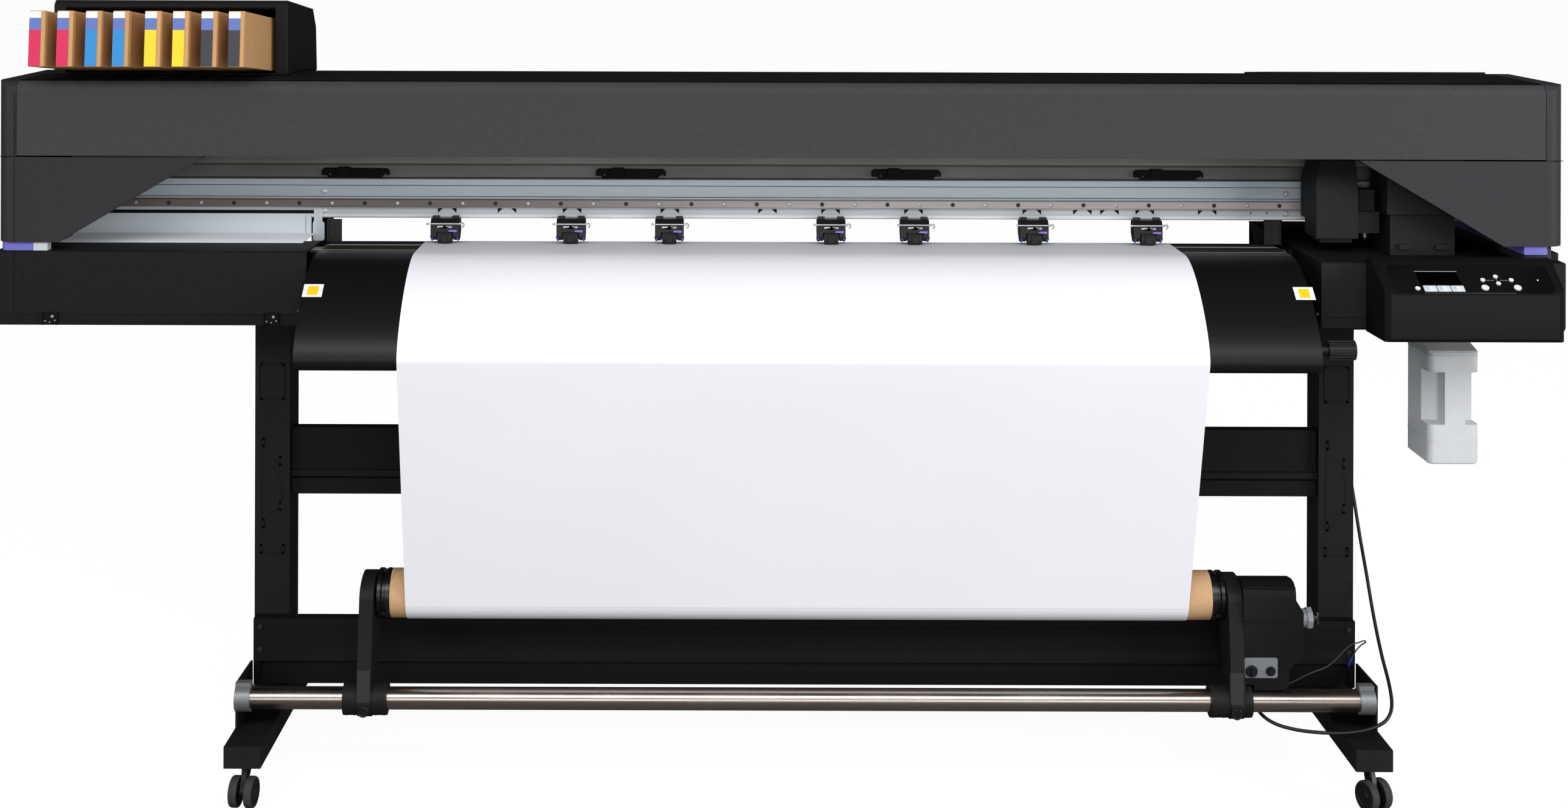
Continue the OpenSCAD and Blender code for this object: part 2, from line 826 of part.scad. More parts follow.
module cutter_head() {
  x1 = cutter_x + cutter_w;
  color([0.14, 0.14, 0.15])
  difference() {
    union() {
      guide_shoe(cutter_x + 2, x1 - 2);
      box([cutter_x + 4, x1 - 4], [-60, -28], [976, 1010]);
      box([cutter_x, x1], [-98, -58], [952, 991]);
      box([cutter_x + 6, x1 - 6], [-90, -60], [990, 1030]);
      // link to the carriage
      box([carriage_x + carriage_w, cutter_x + 3], [-60, -40], [1000, 1008]);
    }
    translate([cutter_x + cutter_w / 2, blade_y, 940]) cylinder(h = 60, r = 7 + run_fit);
    translate([cutter_x + cutter_w / 2, blade_y, 985]) cylinder(h = 60, r = 9);
  }
}

module blade_holder() {
  color([0.35, 0.35, 0.37])
  translate([cutter_x + cutter_w / 2, blade_y, 0]) union() {
    translate([0, 0, 942]) cylinder(h = 66, r = 7);
    translate([0, 0, 936.2]) cylinder(h = 6.5, r1 = 2, r2 = 5);
    translate([0, 0, 1006]) cylinder(h = 7, r = 8.4);
  }
}

module capping_station() {
  color([0.11, 0.11, 0.12])
  union() {
    box([1090, 1206], [-128, -32], [916.3, 990]);
    along_y(-136, -32) polygon([[1082, 990], [1200, 990], [1196, 1020], [1168, 1064], [1084, 1064]]);
    box([1104, 1124], [-134, -127], [928, 938]);
    box([1170, 1190], [-134, -127], [928, 938]);
  }
}

// ---------- covers ----------

// height of the top at depth y, level and then falling to the rear
function roof(y) = body_top - slope_drop * max(0, y - slope_start) / (rear_y - 30 - slope_start);

// outline of the upper body, inset by i
function body_outline(i, low) = concat(
  [[front_y + i, low]],
  arc(hinge_y, hinge_z, edge_r - i, 180, 90, 6),
  [[slope_start, body_top - i], [rear_y - 30, body_top - slope_drop - i],
   [rear_y - i, body_top - slope_drop - 20], [rear_y - i, low]]
);

module front_cover() {
  x1 = seam_x - 0.5;
  inner_r = edge_r - wall;
  color([0.27, 0.27, 0.28])
  along_x(-x1, x1) polygon(concat(
    [[front_y, cover_low + 1.5]],
    arc(hinge_y, hinge_z, edge_r, 180, 104, 6),
    arc(hinge_y, hinge_z, inner_r, 104, 180, 6),
    [[front_y + wall, cover_low + wall + 1.5], [front_y + 14, cover_low + wall + 1.5],
     [front_y + 14, cover_low + 1.5]]
  ));
}

module top_cover() {
  x1 = seam_x - 0.1;
  well = [[ink_x0 + 13, ink_x1 - 13], [ink_front + 8, 162]];
  color([0.1, 0.1, 0.1])
  difference() {
    union() {
      along_x(-x1, x1) polygon([
        [hinge_y + 5, body_top], [slope_start, body_top], [rear_y - 30, body_top - slope_drop],
        [rear_y, body_top - slope_drop - 20], [rear_y, 935], [rear_y - wall, 935],
        [rear_y - wall, body_top - slope_drop - 21], [rear_y - 31, body_top - slope_drop - wall],
        [slope_start, body_top - wall], [hinge_y + 5, body_top - wall]
      ]);
      // raised lid over the right-hand end
      along_x(930, x1 - 4) polygon([
        [84, roof(84) - 1], [86, roof(86) + 3.2], [rear_y - 33, roof(rear_y - 33) + 3.2],
        [rear_y - 31, roof(rear_y - 31) - 1]
      ]);
    }
    rod_x(-side_x, side_x, hinge_y, hinge_z, edge_r + 0.6);
    box(well[0], well[1], [body_top - 14, body_top + 10]);
    // long finger recess
    box([1080, 1270], [-150, -118], [body_top - 1.8, body_top + 1]);
  }
}

module side_cover() {
  r = 30;
  flange = 25;
  difference() {
    intersection() {
      along_x(seam_x, side_x) polygon(body_outline(0, band_z));
      translate([0, 0, 900]) linear_extrude(height = 400) union() {
        translate([seam_x - 1, front_y]) square([side_x - seam_x + 1 - r, 600]);
        translate([seam_x - 1, front_y + r]) square([side_x - seam_x + 1, 600]);
        translate([side_x - r, front_y + r]) circle(r = r);
      }
    }
    intersection() {
      along_x(seam_x - 1, side_x - wall) polygon(body_outline(wall, band_z - 1));
      translate([0, 0, 900]) linear_extrude(height = 400) union() {
        translate([seam_x - 2, front_y]) square([side_x - seam_x + 2 - r, 600]);
        translate([seam_x - 2, front_y + r]) square([side_x - seam_x + 2 - wall, 600]);
        translate([side_x - r, front_y + r]) circle(r = r - wall);
      }
    }
  }
  // lower corner panel with its diagonal edge and return
  along_y(front_y, front_y + wall)
    polygon([[seam_x, band_z], [1265, band_z], [1013, cover_low - 1], [seam_x, cover_low - 1]]);
  along_y(front_y, front_y + flange) polygon([
    [1265, band_z], [1269, band_z], [1017, cover_low - 1], [1013, cover_low - 1]
  ]);
  box([1265, seam_x], [front_y + wall, front_y + flange + 60], [band_z, band_z + wall]);
}

module left_side_cover() {
  color([0.27, 0.27, 0.28])
  union() {
    mirror([1, 0, 0]) side_cover();
    box([-1360, -1306], [-196, 200], [930, band_z + 1]);
  }
}

module right_side_cover() {
  color([0.27, 0.27, 0.28])
  union() {
    side_cover();
    box([1306, 1352], [-196, 200], [916, band_z + 1]);
  }
}

// shell of a base end, open below, behind and on its inner side
module base_shell(x0, x1, low, top, wall_side) {
  difference() {
    along_x(x0, x1) polygon([
      [front_y, low + 4], [front_y, top - 3], [front_y + 3, top], [rear_y - 6, top],
      [rear_y - 6, low], [front_y + 4, low]
    ]);
    box([x0 + (wall_side < 0 ? wall : -1), x1 + (wall_side > 0 ? -wall : 1)],
      [front_y + wall, rear_y + 1], [low - 1, top - wall]);
  }
}

module left_base_cover() {
  color([0.13, 0.13, 0.14])
  difference() {
    base_shell(-side_x, bed_x0 - 5, 800, 930, -1);
    // room for the bearing plate of the bar
    box([-870, bed_x0], [-80, rear_y + 1], [780, 931]);
  }
}

module right_base_cover() {
  x0 = 946;
  low = 797;
  color([0.13, 0.13, 0.14])
  difference() {
    union() {
      base_shell(x0, side_x, low, 916, 1);
      box([x0, x0 + wall], [front_y + 1, rear_y - 8], [low, 914]);
      // raised rim at the outer end
      box([1354, side_x], [front_y + 34, 200], [915, 929]);
    }
    // the chassis beams pass through the inner wall
    box([x0 - 1, x0 + wall + 1], [-95, -33], [low - 1, 823]);
    box([x0 - 1, x0 + wall + 1], [199, 261], [low - 1, 823]);
  }
}

// ---------- operator panel ----------

panel_outline = [
  [panel_front, panel_low + 6], [panel_front, panel_lip - 4], [panel_front + 3, panel_lip + 1],
  [panel_back_y, panel_back_z], [front_y - 0.3, panel_back_z], [front_y - 0.3, panel_low],
  [panel_front + 5, panel_low]
];

// places children on the sloping face: x across, y up the slope, z out of it
module on_slope(x, up) {
  c = cos(panel_tilt);
  translate([x, panel_front + up, panel_lip + up * tan(panel_tilt)]) rotate([panel_tilt, 0, 0]) children();
}

module panel_housing() {
  color([0.12, 0.12, 0.13])
  difference() {
    intersection() {
      along_x(panel_x0, panel_x1 + 10) polygon(panel_outline);
      translate([0, 0, panel_low - 5]) linear_extrude(height = 200) union() {
        polygon([
          [panel_x0, front_y], [panel_x0 + 3, panel_front + 9], [panel_x0 + 12, panel_front],
          [panel_x1 - 12, panel_front], [panel_x1, panel_front + 12],
          [panel_x1 + 5, front_y]
        ]);
      }
    }
    on_slope(face_x, face_up) translate([0, 0, -3]) linear_extrude(height = 20) rounded(276, 74, 14);
    // hollow behind the face
    on_slope(face_x, face_up) translate([0, 0, -16]) linear_extrude(height = 20) rounded(252, 64, 8);
  }
}

function_x = [1107, 1130.5, 1154];
arrow_pos = [[1202.6, 33.3], [1251.4, 33.3], [1227, 41], [1227, 25.6]];
select_pos = [[1201, 16], [1256.5, 16]];

module key(p, r) {
  on_slope(p[0], p[1]) union() {
    translate([0, 0, -6]) cylinder(h = 7, r = r);
    translate([0, 0, -8]) cylinder(h = 3, r = r + 1.2);
  }
}

module panel_plate() {
  color([0.03, 0.03, 0.03])
  difference() {
    on_slope(face_x, face_up) translate([0, 0, -3]) linear_extrude(height = 2.2) rounded(275, 73, 13.5);
    for (x = concat([1085], function_x)) {
      on_slope(x, 14) translate([0, 0, -4]) cylinder(h = 6, r = 4.3 + run_fit);
    }
    for (p = arrow_pos) {
      on_slope(p[0], p[1]) translate([0, 0, -4]) cylinder(h = 6, r = 4 + run_fit);
    }
    for (p = select_pos) {
      on_slope(p[0], p[1]) translate([0, 0, -4]) cylinder(h = 6, r = 6.4 + run_fit);
    }
  }
}

module function_keys() {
  color([0.86, 0.87, 0.88])
  for (x = concat([1085], function_x)) {
    key([x, 14], 4.3);
  }
}

module arrow_keys() {
  color([0.86, 0.87, 0.88])
  for (p = arrow_pos) {
    key(p, 4);
  }
}

module select_keys() {
  color([0.86, 0.87, 0.88])
  for (p = select_pos) {
    key(p, 6.4);
  }
}

// ---------- ink unit ----------

carton_x = [-1296, -1248, -1199, -1152, -1097, -1049, -1000, -953];

module ink_housing() {
  color([0.12, 0.12, 0.13])
  difference() {
    union() {
      along_x(ink_x0, ink_x1) polygon([
        [ink_front, body_top + 0.2], [ink_front, ink_top - 8], [ink_front + 8, ink_top],
        [ink_rear - 40, ink_top - 24], [ink_rear - 10, ink_top - 60], [ink_rear, roof(ink_rear) + 0.2],
        [slope_start, body_top + 0.2]
      ]);
      box([ink_x0 + 14, ink_x1 - 14], [ink_front + 9, 161], [body_top - 34, body_top + 1]);
    }
    // bay for the cartons
    along_x(ink_x0 + 22, ink_x1 - 23) polygon([
      [ink_front - 1, body_top + 4], [ink_front - 1, ink_top - 14], [151, ink_top - 38], [151, body_top + 4]
    ]);
    box([ink_x0 + 22, ink_x1 - 23], [ink_front + 14, 151], [body_top - 28, body_top + 10]);
  }
}

module carton(x) {
  translate([x, carton_front, carton_low]) rotate([-carton_tilt, 0, 0]) cube([carton_w, carton_l, carton_h]);
}

module carton_pair(i) {
  union() {
    carton(carton_x[i]);
    carton(carton_x[i + 1]);
  }
}

module cartons_magenta() {
  color([0.82, 0.2, 0.38]) carton_pair(0);
}

module cartons_cyan() {
  color([0.2, 0.5, 0.8]) carton_pair(2);
}

module cartons_yellow() {
  color([0.95, 0.8, 0.15]) carton_pair(4);
}

module cartons_black() {
  color([0.25, 0.25, 0.28]) carton_pair(6);
}

// ---------- waste bottle ----------

module bottle_slice(inset, z0, z1) {
  w = bottle_x[1] - bottle_x[0] - 2 * inset;
  d = bottle_y[1] - bottle_y[0] - 2 * inset;
  translate([(bottle_x[0] + bottle_x[1]) / 2, (bottle_y[0] + bottle_y[1]) / 2, z0])
    linear_extrude(height = z1 - z0) rounded(w, d, 12 - inset);
}

module waste_bottle() {
  color([0.85, 0.88, 0.9])
  difference() {
    union() {
      bottle_slice(3, 541, 544);
      bottle_slice(0, 543.5, 742);
      along_x(bottle_x[0] + 2, bottle_x[1] - 2) polygon([
        [bottle_y[0] + 3, 741], [bottle_y[0] + 4, 744], [-76, 752], [-40, 762], [bottle_y[1] - 3, 762],
        [bottle_y[1] - 3, 741]
      ]);
      translate([1208.5, -46, 760]) cylinder(h = 29, r = 24);
    }
    // hand grips in the two front corners
    for (x = [[bottle_x[0] - 10, 1192.5], [1229, bottle_x[1] + 10]]) {
      translate([(x[0] + x[1]) / 2, bottle_y[0] + 15.5, 612]) linear_extrude(height = 94)
        rounded(x[1] - x[0], 51, 6);
    }
  }
}

left_foot();
right_foot();
left_leg();
right_leg();
middle_beam();
lower_beam();
caster_fork(0);  // caster_fork_1
caster_fork(1);  // caster_fork_2
caster_fork(2);  // caster_fork_3
caster_fork(3);  // caster_fork_4
caster_wheels(0);  // caster_wheels_1
caster_wheels(1);  // caster_wheels_2
caster_wheels(2);  // caster_wheels_3
caster_wheels(3);  // caster_wheels_4
take_up_rail();
rail_clamps();
left_arm();
left_hub();
right_arm();
motor_cover();
right_hub();
take_up_core();
torque_knob();
direction_toggle();
power_button();
take_up_cable();
ground_wire();
media_web();
supply_brackets();
supply_roll();
aprons();
chassis();
platen();
hand_knob();
y_bar();
linear_rail();
pinch_arms();
pinch_rollers();
grit_roller();
print_carriage();
cutter_head();
blade_holder();
capping_station();
front_cover();
top_cover();
left_side_cover();
right_side_cover();
left_base_cover();
right_base_cover();
panel_housing();
panel_plate();
function_keys();
arrow_keys();
select_keys();
ink_housing();
cartons_magenta();
cartons_cyan();
cartons_yellow();
cartons_black();
waste_bottle();
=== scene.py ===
import math
import random

import bmesh
import bpy
from mathutils import Matrix, Vector


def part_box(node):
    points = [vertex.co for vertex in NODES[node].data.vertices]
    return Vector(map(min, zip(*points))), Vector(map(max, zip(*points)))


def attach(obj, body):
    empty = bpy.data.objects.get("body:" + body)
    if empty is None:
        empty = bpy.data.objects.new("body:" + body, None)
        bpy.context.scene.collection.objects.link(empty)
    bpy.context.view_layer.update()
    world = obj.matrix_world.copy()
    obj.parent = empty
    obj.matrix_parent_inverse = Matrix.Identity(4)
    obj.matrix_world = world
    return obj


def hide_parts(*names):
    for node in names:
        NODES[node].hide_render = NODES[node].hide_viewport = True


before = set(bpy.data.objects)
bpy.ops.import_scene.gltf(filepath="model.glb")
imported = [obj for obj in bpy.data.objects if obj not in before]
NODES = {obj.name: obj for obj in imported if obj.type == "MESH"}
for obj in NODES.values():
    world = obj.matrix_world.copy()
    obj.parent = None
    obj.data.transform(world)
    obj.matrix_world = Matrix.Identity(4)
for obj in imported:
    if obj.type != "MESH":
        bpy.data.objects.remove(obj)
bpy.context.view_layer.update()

MM = 0.001


# ---------- places, in millimetres ----------

def span(node):
    """(lowest corner, highest corner) of a CAD node in millimetres."""
    low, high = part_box(node)
    return low / MM, high / MM


BODY_LOW, BODY_HIGH = span("left_side_cover")[0], span("right_side_cover")[1]
COVER_LOW, COVER_HIGH = span("front_cover")
BED_LOW, BED_HIGH = span("platen")
APRON_LOW, APRON_HIGH = span("aprons")
CORE_LOW, CORE_HIGH = span("take_up_core")
BAR_LOW, BAR_HIGH = span("y_bar")
GUIDE_LOW, GUIDE_HIGH = span("linear_rail")
WEB_LOW, WEB_HIGH = span("media_web")
ROLL_LOW, ROLL_HIGH = span("supply_roll")
RAIL_LOW, RAIL_HIGH = span("take_up_rail")
CARRIAGE_LOW, CARRIAGE_HIGH = span("print_carriage")
CUTTER_LOW, CUTTER_HIGH = span("cutter_head")
STATION_LOW, STATION_HIGH = span("capping_station")
PANEL_LOW, PANEL_HIGH = span("panel_housing")
MOTOR_LOW, MOTOR_HIGH = span("motor_cover")
BOTTLE_LOW, BOTTLE_HIGH = span("waste_bottle")
LEFT_BASE_LOW, LEFT_BASE_HIGH = span("left_base_cover")
RIGHT_BASE_LOW, RIGHT_BASE_HIGH = span("right_base_cover")
LEG_LOW, LEG_HIGH = span("left_leg")
RIGHT_LEG_LOW, RIGHT_LEG_HIGH = span("right_leg")
BEAM_LOW, BEAM_HIGH = span("lower_beam")

CORE_AXIS = (CORE_LOW + CORE_HIGH) / 2
CORE_RADIUS = (CORE_HIGH.y - CORE_LOW.y) / 2
RAIL_AXIS = (RAIL_LOW + RAIL_HIGH) / 2
RAIL_RADIUS = (RAIL_HIGH.y - RAIL_LOW.y) / 2
PINCH_X = [-610, -380, -200, 96, 249, 467, 675]
PINCH_Y, PINCH_Z, PINCH_RADIUS = -38, 931.5, 11
CASTER_TURN = [174, 202, -10, 15]
REAR_START = -24


# ---------- camera and light ----------

def make_camera():
    """Level camera in front of the machine, high up, with the frame shifted down to it."""
    lens_px, width, height = 3500, 2576, 1328
    axis_x, axis_y = 1199, -126
    roll = math.radians(0.17)
    data = bpy.data.cameras.new("camera")
    data.sensor_width = 36
    data.lens = 36 * lens_px / width
    data.shift_x = (width / 2 - axis_x) / width
    data.shift_y = (axis_y - height / 2) / width
    data.clip_start, data.clip_end = 0.1, 200
    camera = bpy.data.objects.new("camera", data)
    camera.location = (-0.091, -3.934, 1.507)
    camera.rotation_euler = (math.radians(90), -roll, 0)
    bpy.context.scene.collection.objects.link(camera)
    bpy.context.scene.camera = camera


def area_light(name, place, target, size, power, colour=(1, 1, 1)):
    data = bpy.data.lights.new(name, "AREA")
    data.shape = "RECTANGLE"
    data.size, data.size_y = size
    data.energy = power
    data.color = colour
    light = bpy.data.objects.new(name, data)
    light.location = place
    light.rotation_mode = "QUATERNION"
    light.rotation_quaternion = (Vector(target) - Vector(place)).to_track_quat("-Z", "Y")
    bpy.context.scene.collection.objects.link(light)


def make_lights():
    area_light("key", (-0.2, -5.2, 4.2), (0, 0, 0.7), (6.0, 2.0), 205)
    area_light("left_fill", (-5.0, -3.2, 1.9), (0, 0, 0.7), (2.2, 3.0), 75)
    area_light("right_fill", (5.0, -3.2, 1.9), (0, 0, 0.7), (2.2, 3.0), 190)
    area_light("low_fill", (0, -6.5, 0.9), (0, 0, 0.7), (5.0, 1.4), 66)
    world = bpy.data.worlds.new("studio")
    bpy.context.scene.world = world
    world.use_nodes = True
    nodes, links = world.node_tree.nodes, world.node_tree.links
    seen = nodes.new("ShaderNodeLightPath")
    room = nodes.new("ShaderNodeMix")
    room.data_type = "RGBA"
    room.inputs["A"].default_value = (0.42, 0.425, 0.435, 1)
    room.inputs["B"].default_value = (0.03, 0.03, 0.032, 1)
    links.new(seen.outputs["Is Glossy Ray"], room.inputs["Factor"])
    mix = nodes.new("ShaderNodeMix")
    mix.data_type = "RGBA"
    mix.inputs["B"].default_value = (1, 1, 1, 1)
    through = nodes.new("ShaderNodeMath")
    through.operation = "MAXIMUM"
    links.new(seen.outputs["Is Camera Ray"], through.inputs[0])
    links.new(seen.outputs["Is Transmission Ray"], through.inputs[1])
    links.new(through.outputs[0], mix.inputs["Factor"])
    links.new(room.outputs["Result"], mix.inputs["A"])
    links.new(mix.outputs["Result"], nodes["Background"].inputs["Color"])
    bpy.context.scene.view_settings.view_transform = "Standard"


def make_floor():
    """Wide pale floor, bright to the camera and darker in reflections."""
    mesh = bpy.data.meshes.new("floor")
    half = 60
    mesh.from_pydata([(-half, -half, 0), (half, -half, 0), (half, half, 0), (-half, half, 0)], [], [(0, 1, 2, 3)])
    floor = bpy.data.objects.new("floor", mesh)
    bpy.context.scene.collection.objects.link(floor)
    m = bpy.data.materials.new("pale_floor")
    m.use_nodes = True
    nodes, links = m.node_tree.nodes, m.node_tree.links
    shader = nodes["Principled BSDF"]
    shader.inputs["Roughness"].default_value = 0.9
    shader.inputs["Specular IOR Level"].default_value = 0.1
    shader.inputs["Emission Color"].default_value = (1, 1, 1, 1)
    seen = nodes.new("ShaderNodeLightPath")
    glow = nodes.new("ShaderNodeMath")
    glow.operation = "MULTIPLY"
    glow.inputs[1].default_value = 0.93
    links.new(seen.outputs["Is Camera Ray"], glow.inputs[0])
    links.new(glow.outputs[0], shader.inputs["Emission Strength"])
    shader.inputs["Base Color"].default_value = (0.12, 0.12, 0.122, 1)
    mesh.materials.append(m)


# ---------- materials ----------

def srgb(red, green, blue):
    """A colour of 0-255 display values as the linear colour that shaders take."""
    def linear(c):
        c = c / 255
        return c / 12.92 if c <= 0.04045 else ((c + 0.055) / 1.055) ** 2.4
    return (linear(red), linear(green), linear(blue), 1)


class Finish:
    """A node material under construction: a Principled shader, with patterns in the object's own coordinates."""

    def __init__(self, name):
        self.material = bpy.data.materials.new(name)
        self.material.use_nodes = True
        self.nodes = self.material.node_tree.nodes
        self.links = self.material.node_tree.links
        self.shader = self.nodes["Principled BSDF"]
        self.place = self.nodes.new("ShaderNodeTexCoord").outputs["Object"]

    def set(self, **values):
        for name, value in values.items():
            self.shader.inputs[name.replace("_", " ")].default_value = value
        return self

    def noise(self, size, detail=2.0, stretch=(1, 1, 1), rough=0.5):
        """Noise whose blobs are size millimetres across, longer along an axis where stretch is over 1."""
        mapping = self.nodes.new("ShaderNodeMapping")
        mapping.inputs["Scale"].default_value = [1 / (size * MM * s) for s in stretch]
        self.links.new(self.place, mapping.inputs["Vector"])
        node = self.nodes.new("ShaderNodeTexNoise")
        node.inputs["Scale"].default_value = 1
        node.inputs["Detail"].default_value = detail
        node.inputs["Roughness"].default_value = rough
        self.links.new(mapping.outputs["Vector"], node.inputs["Vector"])
        return node.outputs["Fac"]

    def ramp(self, value, stops):
        node = self.nodes.new("ShaderNodeValToRGB")
        elements = node.color_ramp.elements
        while len(elements) < len(stops):
            elements.new(0.5)
        for element, (position, colour) in zip(elements, stops):
            element.position = position
            element.color = colour
        self.links.new(value, node.inputs["Fac"])
        return node.outputs["Color"]

    def spread(self, value, low, high, start=0.3, end=0.7):
        node = self.nodes.new("ShaderNodeMapRange")
        node.inputs["From Min"].default_value = start
        node.inputs["From Max"].default_value = end
        node.inputs["To Min"].default_value = low
        node.inputs["To Max"].default_value = high
        self.links.new(value, node.inputs["Value"])
        return node.outputs["Result"]

    def mix(self, factor, a, b):
        node = self.nodes.new("ShaderNodeMix")
        node.data_type = "RGBA"
        for socket, value in ((node.inputs["Factor"], factor), (node.inputs["A"], a), (node.inputs["B"], b)):
            if isinstance(value, bpy.types.NodeSocket):
                self.links.new(value, socket)
            else:
                socket.default_value = value
        return node.outputs["Result"]

    def math(self, operation, a, b=0.0):
        node = self.nodes.new("ShaderNodeMath")
        node.operation = operation
        for socket, value in zip(node.inputs, (a, b)):
            if isinstance(value, bpy.types.NodeSocket):
                self.links.new(value, socket)
            else:
                socket.default_value = value
        return node.outputs["Value"]

    def axis(self, name):
        """The point's X, Y or Z in metres."""
        node = self.nodes.new("ShaderNodeSeparateXYZ")
        self.links.new(self.place, node.inputs["Vector"])
        return node.outputs[name]

    def edges(self, low=0.51, high=0.58):
        """1 on outer edges, where a painted highlight goes, 0 on flat faces."""
        node = self.nodes.new("ShaderNodeNewGeometry")
        return self.spread(node.outputs["Pointiness"], 0, 1, low, high)

    def bump(self, height, depth, strength=1.0):
        """Surface relief of depth millimetres."""
        node = self.nodes.new("ShaderNodeBump")
        node.inputs["Distance"].default_value = depth * MM
        node.inputs["Strength"].default_value = strength
        self.links.new(height, node.inputs["Height"])
        previous = self.shader.inputs["Normal"]
        if previous.is_linked:
            self.links.new(previous.links[0].from_socket, node.inputs["Normal"])
        self.links.new(node.outputs["Normal"], self.shader.inputs["Normal"])
        return self

    def colour(self, value):
        self.links.new(value, self.shader.inputs["Base Color"])
        return self

    def rough(self, value):
        self.links.new(value, self.shader.inputs["Roughness"])
        return self


def scaled(colour, factor):
    return (colour[0] * factor, colour[1] * factor, colour[2] * factor, 1)


def moulded(name, colour, rough=0.55, grain=1.3, depth=0.05, mottle=0.14, specular=0.3, edge=1.5):
    """Moulded plastic or powder coat: fine grain, slight mottling, and a painted highlight that makes the edges a
    little lighter in patches.
    """
    f = Finish(name)
    fine = f.noise(grain, 3)
    wide = f.noise(grain * 90, 2)
    dark, light = scaled(colour, 1 - mottle), scaled(colour, 1 + mottle)
    grained = f.ramp(fine, [(0.3, dark), (0.7, light)])
    toned = f.mix(f.spread(wide, 0, 0.35), grained, colour)
    # painted highlight: outer edges lightened by the factor edge, broken into patches by noise
    painted_edge_highlight = f.math("MULTIPLY", f.edges(), f.spread(f.noise(9, 3), 0.25, 1))
    f.colour(f.mix(painted_edge_highlight, toned, scaled(colour, edge)))
    f.rough(f.spread(fine, rough - 0.06, rough + 0.08))
    f.bump(fine, depth)
    return f.set(Specular_IOR_Level=specular).material


def brushed(name, colour, rough, metallic, streak=0.5, length=120, mottle=0.12, axis="X"):
    """Metal with fine streaks along one axis."""
    f = Finish(name)
    stretch = {"X": (length, 1, 1), "Y": (1, length, 1), "Z": (1, 1, length)}[axis]
    lines = f.noise(streak, 4, stretch)
    wide = f.noise(160, 2)
    streaked = f.ramp(lines, [(0.3, scaled(colour, 1 - mottle)), (0.7, scaled(colour, 1 + mottle))])
    f.colour(f.mix(f.spread(wide, 0, 0.4), streaked, scaled(colour, 0.93)))
    f.rough(f.spread(lines, rough - 0.05, rough + 0.07))
    f.bump(lines, 0.02)
    return f.set(Metallic=metallic).material


def ground_rail(name, left, right):
    """Ground steel rail along X with a painted reflection: its colour darkens towards its left end."""
    f = Finish(name)
    lines = f.noise(0.4, 4, (200, 1, 1))
    # painted reflection: colour runs from the left colour to the right colour between X -0.55 and 0.1 m
    along = f.spread(f.axis("X"), 0, 1, -0.55, 0.1)
    streaks = f.spread(lines, 0.0, 0.25)
    f.colour(f.mix(streaks, f.mix(along, left, right), scaled(left, 0.6)))
    f.rough(f.spread(lines, 0.34, 0.46))
    f.bump(lines, 0.02)
    return f.set(Metallic=0.55).material


def cast(name, colour, rough=0.42, metallic=0.7):
    """Cast metal with a speckled skin."""
    f = Finish(name)
    speck = f.noise(0.9, 3)
    wide = f.noise(7, 2)
    speckled = f.ramp(speck, [(0.32, scaled(colour, 0.62)), (0.6, colour), (0.75, scaled(colour, 1.35))])
    f.colour(f.mix(f.spread(wide, 0, 0.4), speckled, scaled(colour, 0.85)))
    f.rough(f.spread(speck, rough - 0.08, rough + 0.14))
    f.bump(speck, 0.08)
    return f.set(Metallic=metallic).material


def rubber(name, colour, specks=1.0):
    """Matt rubber, with dust in the grain."""
    f = Finish(name)
    fine = f.noise(0.7, 3)
    f.colour(f.ramp(fine, [(0.4, colour), (0.72, scaled(colour, 1 + specks))]))
    f.rough(f.spread(fine, 0.62, 0.85))
    f.bump(fine, 0.06)
    return f.set(Specular_IOR_Level=0.25).material


def kraft(name, colour, fibre=(3, 1, 1)):
    """Brown board: short fibres and soft blotches."""
    f = Finish(name)
    fibres = f.noise(0.8, 4, fibre, 0.65)
    blotches = f.noise(22, 3)
    fibrous = f.ramp(fibres, [(0.28, scaled(colour, 0.72)), (0.5, colour), (0.74, scaled(colour, 1.22))])
    f.colour(f.mix(f.spread(blotches, 0, 0.5), fibrous, scaled(colour, 0.86)))
    f.rough(f.spread(fibres, 0.68, 0.82))
    f.bump(fibres, 0.05)
    return f.set(Specular_IOR_Level=0.25).material


def spiral_kraft(name, colour, centre, pitch=92):
    """Wound cardboard tube along X: kraft with the darker joint of the outer ply."""
    f = Finish(name)
    fibres = f.noise(0.8, 4, (2, 1, 1), 0.65)
    fibrous = f.ramp(fibres, [(0.28, scaled(colour, 0.78)), (0.5, colour), (0.74, scaled(colour, 1.16))])
    up = f.math("SUBTRACT", f.axis("Z"), centre.z * MM)
    out = f.math("SUBTRACT", f.axis("Y"), centre.y * MM)
    turn = f.math("DIVIDE", f.math("ARCTAN2", up, out), 2 * math.pi)
    turns = f.math("ADD", f.math("DIVIDE", f.axis("X"), pitch * MM), turn)
    joint = f.math("LESS_THAN", f.math("FRACT", turns, 0), 0.022)
    f.colour(f.mix(f.math("MULTIPLY", joint, 0.55), fibrous, scaled(colour, 0.5)))
    f.rough(f.spread(fibres, 0.6, 0.78))
    f.bump(f.math("SUBTRACT", fibres, joint), 0.12)
    return f.set(Specular_IOR_Level=0.25).material


def paper(name, colour):
    """Smooth coated media with faint unevenness."""
    f = Finish(name)
    wide = f.noise(240, 3)
    fine = f.noise(1.5, 3)
    f.colour(f.ramp(wide, [(0.3, scaled(colour, 0.985)), (0.7, colour)]))
    f.rough(f.spread(fine, 0.36, 0.44))
    f.bump(wide, 1.2, 0.5)
    f.bump(fine, 0.01)
    return f.set(Specular_IOR_Level=0.45, Sheen_Weight=0.08).material


